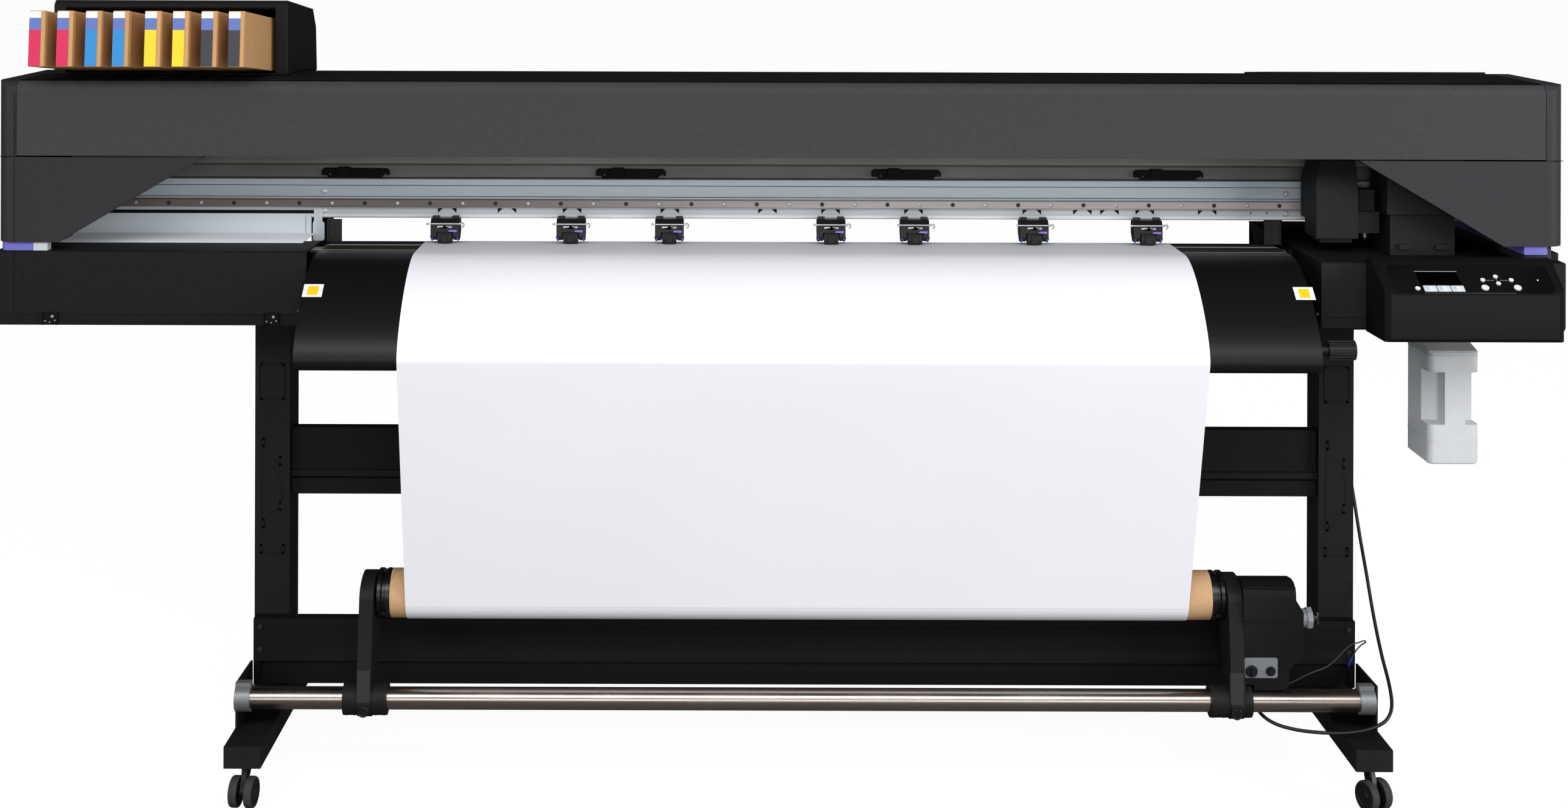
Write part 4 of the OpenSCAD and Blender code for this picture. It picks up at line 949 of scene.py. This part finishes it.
def make_left_opening():
    """Sheet metal at the left of the opening: plate, ledge and bracket, with black strips of painted shade in the gap
    over the plate and beside the bracket.
    All of it lies behind the carriage's path, on the front of the bar."""
    face, thin = BAR_LOW.y - 0.62, 0.5
    back = face + thin
    base = LEFT_BASE_HIGH.z
    x0, x1, top = -1325, -860, 970
    p = Piece("left_plate")
    p.prism("X", [(face, base + 1), (face, top), (back, top), (back, BAR_LOW.z - 0.5), (back + 3, BAR_LOW.z - 0.5),
                  (back + 3, base + 1)], x0, x1)
    p.done("sheet_grey", bevel=0.15)
    shelf = Piece("left_ledge")
    shelf.prism("X", [(face - 0.4, base + 1), (face - 0.4, base + 4), (-104, base + 3), (-108, base + 0.4),
                      (-104, base + 0.4)], x0 - 20, x1 + 4)
    shelf.done("ledge_grey", bevel=0.7)
    # black box of painted shade in the gap over the plate, and a thin upright dark line
    gap = Piece("left_plate_gap_shade")
    gap.box((x0, x1 + 7), (face + 0.1, back), (top, top + 6.4))
    gap.box((x1 - 10.6, x1 - 9.8), (face - 0.03, face + 0.2), (base + 3, top - 2))
    gap.done("shade_black", bevel=0.05)
    b = Piece("left_bracket")
    b.prism("Y", [(-857.5, 920), (-839, 920), (-836, 923), (-836, 952.5), (-840, 956.5), (-840, 981), (-855.5, 981),
                  (-855.5, 956.5), (-857.5, 952.5)], face, back)
    b.done("sheet_grey", bevel=0.15)
    # black strips of painted shade beside the bracket's sides
    e = Piece("left_bracket_side_shade")
    for x in (-859.9, -836):
        e.box((x, x + 2.2), (face, back), (923, 955.5))
    e.done("shade_black", bevel=0.1)


def make_bed_brackets():
    """Black brackets that close the slot between the bed and the bar at both ends."""
    for name, x0, x1 in (("bed_bracket_left", -829, -802), ("bed_bracket_right", 892, 922)):
        p = Piece(name)
        p.box((x0, x1), (-22, -18), (BED_HIGH.z + 0.5, 961.5))
        p.box((x0, x0 + 3) if x0 < 0 else (x1 - 3, x1), (-24, 30), (BED_HIGH.z + 0.5, 961))
        p.done("station_black", bevel=0.6)
        s = Piece(name + "_screws")
        for z in (935, 953):
            s.screw(x0 + (9 if x0 < 0 else 20), -22, z, 3.2, 2.0)
        s.done("dark_steel", bevel=0.2)


def make_bar_details():
    """Screws, slots and notches on the bar, and the screws of the linear rail."""
    front = BAR_LOW.y
    big = Piece("bar_screws")
    for x in (-837, 934):
        # the left pair is flat, since the carriage passes over it
        height = 0.6 if x < 0 else 3.2
        big.screw(x, front, 1011, 5.2, height, 28)
        big.screw(x, front, 975, 5.2, height, 28)
    big.done("bright_steel", bevel=0.3)
    bright, dark = Piece("guide_screws_bright"), Piece("guide_screws_dark")
    pitch = 60
    middle = (GUIDE_LOW.z + GUIDE_HIGH.z) / 2
    count = int((BAR_HIGH.x - BAR_LOW.x - 120) // pitch)
    for i in range(count + 1):
        x = BAR_LOW.x + 70 + i * pitch
        target = bright if i % 2 else dark
        target.lathe("Y", (x, GUIDE_LOW.y, middle),
                     [(6, 0), (6, 3.6), (1.6, 3.6), (0.9, 2.9), (0.9, 1.7), (3.2, 1.5), (3.2, 0)], 18)
    bright.done("bright_steel", bevel=0.15)
    dark.done("dark_steel", bevel=0.15)
    marks = Piece("bar_notches")
    places = PINCH_X + [-500, -20, 560, 610, 790]
    for x in places:
        for s in (-1, 1):
            outer, inner = x + s * 17, x + s * 10
            marks.prism("Y", [(outer, 980.5), (inner - s * 2, 980.5), (outer, 972)], front - 0.3, front + 0.5)
    for x in (-1262, -1246, 870, 900):
        marks.lathe("Y", (x, front, 976), [(-0.25, 0), (-0.25, 1.5), (0.5, 1.5), (0.5, 0)], 14)
    marks.done("shade_black")
    lines = Piece("bar_seams")
    for z in (1001.2, 1021.8):
        lines.box((BAR_LOW.x + 1, BAR_HIGH.x - 1), (front - 0.2, front + 0.4), (z, z + 1.1))
    lines.done("shade_black")


def make_lid_clips():
    """Clips on the lid's inner edge, seen under the cover."""
    for i, (x0, x1) in enumerate(((-843, -718), (-337, -208), (172, 300), (656, 784))):
        p = Piece(f"rear_clip_{i + 1}")
        outline = [(x0, 1040), (x0 + 10, 1040), (x0 + 12, 1036), (x1 - 14, 1036), (x1 - 12, 1040), (x1, 1040), (x1, 1047),
                   (x1 - 4, 1052), (x0 + 4, 1053), (x0, 1048)]
        p.prism("Y", outline, -4, 6)
        p.box((x0 + 30, x0 + 52), (-8, 4), (1041, 1055))
        p.done("shade_black", bevel=0.8)
        s = Piece(f"rear_clip_{i + 1}_screws")
        for x in (x0 + 16, x1 - 6):
            s.screw(x, -4.2, 1042, 2.2, 1.0, 14)
        s.done("dark_steel")


def make_platen_strip():
    """Cutting strip along the front of the platen."""
    top = BED_HIGH.z
    x0, x1 = BED_LOW.x + 2, BED_HIGH.x - 2
    lip = Piece("platen_strip")
    lip.box((x0, x1), (-110, -55), (top - 1, top + 0.12))
    lip.done("station_black", bevel=0.05)
    p = Piece("platen_lines")
    p.box((x0, x1), (-56, -51.2), (top - 1, top + 0.25))
    p.done("sheet_grey")
    g = Piece("platen_gold_line")
    g.box((x0, x1), (-113, -110.2), (top - 1, top + 0.25))
    g.done("gold_line")


# ---------- pinch units ----------

def make_pinch_details():
    """Springs, levers, straps and end rings on the pinch units."""
    rods, straps, levers, rings = Piece("pinch_springs"), Piece("pinch_straps"), Piece("pinch_levers"), Piece("pinch_rings")
    hooks = Piece("pinch_hooks")
    for x in PINCH_X:
        rods.lathe("X", (x, -47, 957), [(-33, 0), (-33, 1.9), (-30, 2.2), (-29, 1.3), (26, 1.3), (27, 2.2), (31, 1.9),
                                        (32, 0)], 16)
        rods.sweep([(x + 30, -47, 957), (x + 33, -47, 959), (x + 35, -46, 957), (x + 35, -45, 953), (x + 32, -44, 950)],
                   1.3, 8)
        rods.prism("Y", [(x - 13, 950), (x + 13, 950), (x + 13, 953), (x + 3, 953), (x, 948), (x - 3, 953),
                         (x - 13, 953)], -47, -44)
        straps.box((x - 5.5, x + 5.5), (-51, -46), (924.5, 936))
        straps.box((x - 5.5, x + 5.5), (-50.5, -43), (933, 938))
        levers.prism("Y", [(x + 6, 943), (x + 22, 942), (x + 23, 946), (x + 9, 946)], -49, -44)
        for s in (-1, 1):
            rings.lathe("X", (x + s * 23.5, PINCH_Y, 929.5), [(-1.5, 0), (-1.5, 4.6), (1.5, 4.6), (1.5, 0)], 18)
            hooks.box((x + s * 18 - 6.5, x + s * 18 + 6.5), (-30, -19), (962, 969))
    body = "pinch_frame"
    rods.done("bright_steel", body)
    straps.done("pinch_rubber", body, bevel=0.4)
    levers.done("violet_lever", body, bevel=0.4)
    rings.done("crimp_blue", body, bevel=0.3)
    hooks.done("pinch_black", body, bevel=0.6)


# ---------- cartons ----------

CARTON_X = [-1296, -1248, -1199, -1152, -1097, -1049, -1000, -953]
CARTON_SIZE = (28, 372, 97)
CARTON_FRONT, CARTON_BOTTOM, CARTON_TILT = -277, 1257, 5.5


def tilted(points, x):
    """Points in a carton's own frame, placed where the carton lies."""
    turn = Matrix.Rotation(math.radians(-CARTON_TILT), 3, "X")
    return [Vector((x, CARTON_FRONT, CARTON_BOTTOM)) + turn @ Vector(p) for p in points]


def carton_block(piece, x, a, b):
    """Box between corners a and b of a carton's own frame."""
    corners = [(a[0], a[1], a[2]), (b[0], a[1], a[2]), (b[0], b[1], a[2]), (a[0], b[1], a[2]),
               (a[0], a[1], b[2]), (b[0], a[1], b[2]), (b[0], b[1], b[2]), (a[0], b[1], b[2])]
    faces = [(0, 3, 2, 1), (4, 5, 6, 7), (0, 1, 5, 4), (1, 2, 6, 5), (2, 3, 7, 6), (3, 0, 4, 7)]
    piece.solid(tilted(corners, x), faces)


def make_cartons():
    """Ink cartons in pairs: board, folded flaps and a label over the front."""
    w, l, h = CARTON_SIZE
    for i, colour in enumerate(("magenta", "cyan", "yellow", "black")):
        body, slot = f"ink_{colour}", f"carton_{colour}"
        board, flaps = Piece(f"carton_board_{colour}"), Piece(f"carton_flaps_{colour}")
        white, band, block = (Piece(f"carton_{part}_{colour}") for part in ("label", "stripe", "patch"))
        for x in CARTON_X[2 * i:2 * i + 2]:
            carton_block(board, x, (0.4, 0.9, 0.4), (w - 0.4, l - 0.4, h - 0.4))
            # side flaps folded over the front edge
            carton_block(flaps, x, (0.0, 14, 1.5), (0.6, l - 1, h - 1.5))
            carton_block(flaps, x, (w - 0.6, 14, 1.5), (w, l - 1, h - 1.5))
            carton_block(flaps, x, (1.0, 3, h - 0.6), (w - 1.0, 12, h))
            # label, stripe and colour field
            carton_block(white, x, (0.5, 0.35, 1.5), (20.5, 1.2, h - 1.5))
            carton_block(band, x, (0.5, 0.15, h * 0.66), (20.5, 1.0, h * 0.87))
            carton_block(block, x, (0.5, 0.15, 1.5), (20.5, 1.0, h * 0.66))
        board.done(slot, body, bevel=0.9, slot=slot, replaces=(f"cartons_{colour}",))
        flaps.done(slot, body, bevel=0.2, slot=slot)
        white.done("label_white", body, bevel=0.1)
        band.done("label_band", body, bevel=0.05)
        block.done(f"label_{colour}", body, bevel=0.05)


# ---------- casters ----------

def make_casters():
    """Open forks between twin wheels, which have a rubber tread round a smooth disc."""
    for i in range(1, 5):
        make_fork(i)
        low, high = span(f"caster_wheels_{i}")
        centre = (low + high) / 2
        radius = (high.z - low.z) / 2
        disc, tread = Piece(f"caster_disc_{i}"), Piece(f"caster_tread_{i}")
        turn = CASTER_TURN[i - 1]
        for s in (-1, 1):
            face = [(6, 0), (6, radius - 3.0), (20.0, radius - 3.0), (20.8, radius - 6), (20.4, 17), (19.4, 15.6), (19.6, 9),
                    (20.8, 7.5), (21, 3), (20.6, 0)]
            disc.lathe("X", centre, [(s * a, r) for a, r in face], 48, turn)
            ring = [(7, radius - 3.2), (6.4, radius - 1.6), (8.5, radius), (17.5, radius), (20.2, radius - 1.4),
                    (20.3, radius - 3.2)]
            tread.lathe("X", centre, [(s * a, r) for a, r in ring], 48, turn)
        disc.lathe("X", centre, [(-6.5, 0), (-6.5, 3.9), (6.5, 3.9), (6.5, 0)], 24, turn)
        disc.done("caster_plastic", f"wheels_{i}", bevel=0.3, slot="caster_plastic", replaces=(f"caster_wheels_{i}",))
        tread.done("caster_tread", f"wheels_{i}", bevel=0.2, slot="caster_tread")


def make_fork(i):
    """Swivel plate, stem and the arm that holds the axle between the wheels."""
    low, high = span(f"caster_wheels_{i}")
    centre = (low + high) / 2
    plate_z, trail, turn = LEG_LOW.z - 42, 14, CASTER_TURN[i - 1]
    swing = Matrix.Rotation(math.radians(turn), 3, "Z")
    stem = centre - swing @ Vector((0, trail, 0))
    fork = Piece(f"caster_fork_body_{i}")
    fork.lathe("Z", (stem.x, stem.y, 0), [(plate_z, 0), (plate_z, 17.5), (plate_z + 1.2, 19), (plate_z + 4.4, 19),
                                          (plate_z + 4.6, 5), (plate_z + 10.6, 5), (plate_z + 10.6, 0)], 36)
    fork.lathe("Z", (stem.x, stem.y, 0), [(plate_z - 19, 0), (plate_z - 18, 6.5), (plate_z - 9, 8), (plate_z - 2.5, 11),
                                          (plate_z + 1, 12), (plate_z + 1, 0)], 28)
    hub = [(-5.4, 0), (-5.4, 10), (-4.4, 11), (4.4, 11), (5.4, 10), (5.4, 0)]
    fork.lathe("X", centre, hub, 32, turn)
    side = [(-8, plate_z + 0.5), (9, plate_z + 0.5), (trail + 9, centre.z + 5), (trail + 4, centre.z - 9), (trail - 10, centre.z),
            (-6, plate_z - 16)]
    corners = [stem + swing @ Vector((x, y, z - stem.z)) for x in (-4.6, 4.6) for y, z in side]
    n = len(side)
    sides = [(k, (k + 1) % n, n + (k + 1) % n, n + k) for k in range(n)]
    fork.solid(corners, sides + [tuple(range(n))[::-1], tuple(range(n, 2 * n))])
    fork.done("caster_plastic", f"caster_{i}", bevel=0.4, slot="caster_plastic", replaces=(f"caster_fork_{i}",))


# ---------- waste bottle ----------

def rounded_rectangle(cx, cy, w, d, r, steps=6):
    outline = []
    for sx, sy, start in ((1, 1, 0), (-1, 1, 90), (-1, -1, 180), (1, -1, 270)):
        for k in range(steps + 1):
            a = math.radians(start + 90 * k / steps)
            outline.append((cx + sx * (w / 2 - r) + r * math.cos(a), cy + sy * (d / 2 - r) + r * math.sin(a)))
    return outline


def make_bottle_ribs():
    """Mould lines round the waste bottle."""
    cx, cy = (BOTTLE_LOW.x + BOTTLE_HIGH.x) / 2, (BOTTLE_LOW.y + BOTTLE_HIGH.y) / 2
    w, d = BOTTLE_HIGH.x - BOTTLE_LOW.x, BOTTLE_HIGH.y - BOTTLE_LOW.y
    p = Piece("bottle_ribs")
    for z in (583, 735):
        p.prism("Z", rounded_rectangle(cx, cy, w + 1.2, d + 1.2, 12.6), z, z + 2.2)
    p.done("bottle_white", "bottle", bevel=0.6, slot="bottle_white")


# ---------- operator panel ----------

def panel_point(x, up, out=0.0):
    """Point on the panel's sloping face: up is the distance behind its front edge, out is off the face."""
    lip_z = 879
    tilt = math.atan2(PANEL_HIGH.z - lip_z, -231 - PANEL_LOW.y)
    return Vector((x, PANEL_LOW.y + up - out * math.sin(tilt), lip_z + up * math.tan(tilt) + out * math.cos(tilt)))


def panel_patch(piece, outline, low, high):
    """Flat tile on the panel's face from an outline in (x, up)."""
    n = len(outline)
    points = [panel_point(x, u, low) for x, u in outline] + [panel_point(x, u, high) for x, u in outline]
    sides = [(i, (i + 1) % n, n + (i + 1) % n, n + i) for i in range(n)]
    piece.solid(points, sides + [tuple(range(n))[::-1], tuple(range(n, 2 * n))])


def rectangle(x0, x1, y0, y1):
    return [(x0, y0), (x1, y0), (x1, y1), (x0, y1)]


def make_panel_details():
    """Screen, key plates, lines between the arrow keys and a lamp."""
    face = -0.8
    screen = Piece("panel_screen")
    panel_patch(screen, rectangle(1092, 1163, 23, 52), face - 0.4, face + 0.25)
    screen.done("screen_glass", bevel=0.2)
    trim = Piece("panel_screen_edge")
    panel_patch(trim, rectangle(1091, 1164, 52, 53.2), face - 0.2, face + 0.5)
    trim.done("print_grey")
    plates = Piece("panel_key_plates")
    for x in (1107, 1130.5, 1154):
        ring = rounded_rectangle(x, 14.4, 22.3, 13.4, 1.2, 3)
        panel_patch(plates, ring, face - 0.4, face + 0.15)
    plates.done("key_plate", bevel=0.1)
    lines = Piece("panel_lines")
    for x0, x1, u0, u1 in ((1208, 1222, 33, 33.7), (1232, 1246, 33, 33.7), (1226.7, 1227.3, 30, 36.6)):
        panel_patch(lines, rectangle(x0, x1, u0, u1), face - 0.2, face + 0.1)
    panel_patch(lines, rectangle(1094, 1250, 4.2, 4.5), face - 0.2, face + 0.1)
    lines.done("print_grey")
    lamp = Piece("panel_lamp")
    panel_patch(lamp, rounded_rectangle(1297, 33.5, 3, 2.6, 1.2, 4), face - 0.4, face + 0.6)
    lamp.done("key_white")


# ---------- take-up unit ----------

def make_motor_details():
    """Control plate, ridge, top edge and grille lines of the motor unit."""
    front = MOTOR_LOW.y
    x0 = MOTOR_LOW.x
    plate = Piece("control_plate")
    outline = rounded_rectangle(x0 + 30, 226, 58, 35, 4, 4)
    plate.prism("Y", outline, front - 0.7, front + 0.5)
    plate.done("control_grey", bevel=0.3)
    ridge = Piece("motor_ridges")
    ridge.prism("Y", [(x0 + 0.5, 305), (x0 + 103, 303), (x0 + 103, 306), (x0 + 0.5, 308.5)], front - 1.6, front + 1)
    ridge.prism("Y", [(x0 + 0.5, 364), (x0 + 90, 362), (x0 + 90, 364), (x0 + 0.5, 367)], front - 1.4, front + 1)
    ridge.prism("Y", [(x0 + 0.5, 282), (x0 + 100, 283), (x0 + 100, 285), (x0 + 0.5, 284.4)], front - 1.0, front + 1)
    ridge.done("motor_black", bevel=0.7)
    nuts = Piece("switch_nuts")
    for x, r in ((812, 10.4), (845, 8.4)):
        nuts.lathe("Y", (x, front, 220.5), [(0.5, 0), (0.5, r), (-1.6, r), (-1.9, r - 0.8), (-1.9, 6.4), (-1.2, 6.3),
                                          (-1.2, 0)], 30)
    nuts.done("switch_black", bevel=0.2)


def make_knob_cap():
    """Black cap on the outer end of the torque knob."""
    low, high = span("torque_knob")
    middle = (low + high) / 2
    cap = Piece("torque_cap")
    cap.lathe("X", (high.x, middle.y, middle.z), [(-14.4, 8.6), (-14.4, 9.8), (-2.6, 9.8), (-1.8, 9.2), (-1.8, 8.6)], 40)
    cap.lathe("X", (high.x, middle.y, middle.z), [(-2.4, 0), (-2.4, 9.4), (-1.9, 9.4), (-1.9, 0)], 40)
    cap.box((high.x - 2.1, high.x + 0.2), (middle.y - 9.2, middle.y + 9.2), (middle.z - 2.8, middle.z + 2.8))
    cap.done("switch_black", "torque_nut", bevel=0.2)


def make_arm_details():
    """Lower segment in a lighter grey of painted light, clamp button and collar ribs of both arms."""
    for name, x0, x1, body, collar in (("left_arm", -728, -704, "left_arm_body", (-753, -678)),
                                       ("right_arm", 771, 795, "machine", (741, 812))):
        low = Piece(f"{name}_segment")
        front = RAIL_AXIS.y - RAIL_RADIUS - 11.6
        low.prism("X", [(front, 168), (front + 5, 222), (front + 12, 222), (front + 8, 168)], x0 + 0.6, x1 - 0.6)
        # lighter grey: painted light on the segment's upward-leaning face
        low.done("arm_segment_painted_light", body, bevel=1.0)
        button = Piece(f"{name}_button")
        button.lathe("Y", ((x0 + x1) / 2, front + 4, RAIL_AXIS.z - 14),
                     [(6, 0), (6, 9.5), (-3, 9.5), (-4.2, 8.6), (-4.4, 7.4), (-3.6, 6.8), (-3.6, 0)], 30)
        button.done("hub_plastic", body, bevel=0.3)
        ribs = Piece(f"{name}_ribs")
        for x in (collar[0] + 4, x0 - 8, x1 + 5, collar[1] - 7):
            ribs.prism("X", [(RAIL_AXIS.y + (RAIL_RADIUS + 9.6) * math.cos(a), RAIL_AXIS.z + (RAIL_RADIUS + 9.6) * math.sin(a))
                             for a in [math.radians(v) for v in range(100, 281, 12)]], x, x + 3)
        ribs.done("arm_plastic", body, bevel=0.5)


# ---------- small parts outside ----------

def make_stickers():
    """Blank labels on the apron's two shoulders."""
    line = web_line()
    lifted = beside(line, -0.25)
    top = [p for p in lifted[18:43]]
    for name, x0 in (("sticker_left", -824), ("sticker_right", 883)):
        pieces = ((name, x0, x0 + 34, 0.1, 0.88, 0.3, "label_white"), (name + "_mark", x0 + 8, x0 + 26, 0.22, 0.76, 0.45,
                                                                     "sticker_yellow"))
        for label, a, b, start, end, lift, material in pieces:
            chosen = top[9:13]
            first, last = chosen[0].lerp(chosen[-1], start), chosen[0].lerp(chosen[-1], end)
            steps = [first.lerp(last, k / 4) for k in range(5)]
            out = beside(steps, -lift)
            outline = [(p.x, p.y) for p in steps] + [(p.x, p.y) for p in reversed(out)]
            Piece(label).prism("X", outline, a, b).done(material)


def make_latches():
    """Latches and a hook on the left-hand base cover."""
    front = LEFT_BASE_LOW.y
    for i, x in enumerate((-1278, -891)):
        p = Piece(f"base_latch_{i + 1}")
        p.box((x - 14, x + 14), (front - 3, front + 1), (803, 823))
        p.box((x - 14, x - 11), (front - 4.5, front + 1), (801, 823))
        p.box((x + 11, x + 14), (front - 4.5, front + 1), (801, 823))
        p.done("shade_black", bevel=0.5)
        s = Piece(f"base_latch_{i + 1}_bolts")
        for dx, z, r in ((-8, 808, 1.6), (4, 816, 2.6), (9, 809, 1.6), (0, 806, 1.4)):
            s.screw(x + dx, front - 3, z, r, 1.2, 14)
        s.done("bright_steel")
    hook = Piece("base_hook")
    hook.prism("Y", [(-965, 800), (-941, 800), (-962, 784), (-966, 788)], -100, -96)
    hook.done("shade_black", bevel=0.6)


def make_bolts():
    """Bolts of the lower beam and small screws of the aprons."""
    p = Piece("beam_bolts")
    for x in (LEG_LOW.x + 16, RIGHT_LEG_HIGH.x - 16):
        for z in (205, 245):
            p.screw(x, BEAM_LOW.y, z, 5.0, 3.0, 24)
    p.done("dark_steel", bevel=0.4)
    q = Piece("apron_screws")
    for x in (BED_LOW.x + 7, BED_HIGH.x - 7):
        q.lathe("X", (x, APRON_LOW.y + 10, 850), [(-1.5, 0), (-1.5, 2.4), (1.5, 2.4), (1.5, 0)], 14)
    q.done("dark_steel", bevel=0.3)


def make_liners():
    """Black plates inside the legs and behind the ends of the take-up rail, which close the holes to view and paint the
    shade inside them.
    """
    p = Piece("leg_shade_plates")
    for low, high in ((LEG_LOW, LEG_HIGH), (RIGHT_LEG_LOW, RIGHT_LEG_HIGH)):
        p.box((low.x + 5, high.x - 5), (low.y + 6, low.y + 8), (350, 720))
    p.box((RIGHT_LEG_LOW.x - 115, RIGHT_LEG_LOW.x + 3), (-111, -108), (118, 143))
    p.box((RIGHT_LEG_HIGH.x - 16, RIGHT_LEG_HIGH.x - 4.4), (-121, -112), (141, 184))
    p.box((LEG_LOW.x + 4.4, LEG_LOW.x + 16), (-121, -112), (141, 184))
    # dark plates: painted shade inside the holes
    p.done("shade_black", bevel=0.3)


def make_seams():
    """Thin dark joints beside the top cover and over the base."""
    p = Piece("cover_seams")
    front = COVER_LOW.y
    for x in (COVER_LOW.x - 0.4, COVER_HIGH.x + 0.4):
        p.box((x - 0.5, x + 0.5), (front - 0.15, front + 2), (1096, 1205))
        p.box((x - 30 if x < 0 else x + 1, x - 1 if x < 0 else x + 30), (front - 0.15, front + 2), (1094.5, 1095.6))
    end = BODY_LOW.x + 32
    p.box((end - 0.6, end + 0.6), (front - 0.15, front + 2), (946, 1205))
    base = Piece("left_base_seams")
    base.box((LEFT_BASE_LOW.x + 4, LEFT_BASE_HIGH.x - 0.5), (LEFT_BASE_LOW.y - 0.25, LEFT_BASE_LOW.y + 1), (819.4, 820.6))
    base.box((end - 0.6, end + 0.6), (LEFT_BASE_LOW.y - 0.25, LEFT_BASE_LOW.y + 1), (821, LEFT_BASE_HIGH.z - 2))
    base.done("shade_black")
    strip = Piece("left_base_strip")
    strip.box((LEFT_BASE_LOW.x + 6, LEFT_BASE_HIGH.x - 0.3), (LEFT_BASE_LOW.y - 0.12, LEFT_BASE_LOW.y + 1), (800.6, 819.4))
    strip.done("beam_black", bevel=0.05)
    q = Piece("base_seam")
    q.box((RIGHT_BASE_LOW.x + 4, PANEL_LOW.x - 0.5), (RIGHT_BASE_LOW.y - 0.25, RIGHT_BASE_LOW.y + 1), (819.4, 820.6))
    p.done("shade_black")
    q.done("shade_black")


def build():
    make_camera()
    make_lights()
    make_floor()
    make_materials()
    make_cords()
    soften_nodes()
    make_web()
    make_wound_media()
    make_accents()
    make_left_opening()
    make_bed_brackets()
    make_bar_details()
    make_lid_clips()
    make_platen_strip()
    make_pinch_details()
    make_cartons()
    make_casters()
    make_bottle_ribs()
    make_panel_details()
    make_motor_details()
    make_arm_details()
    make_stickers()
    make_latches()
    make_bolts()
    make_liners()
    make_seams()
    make_knob_cap()


build()
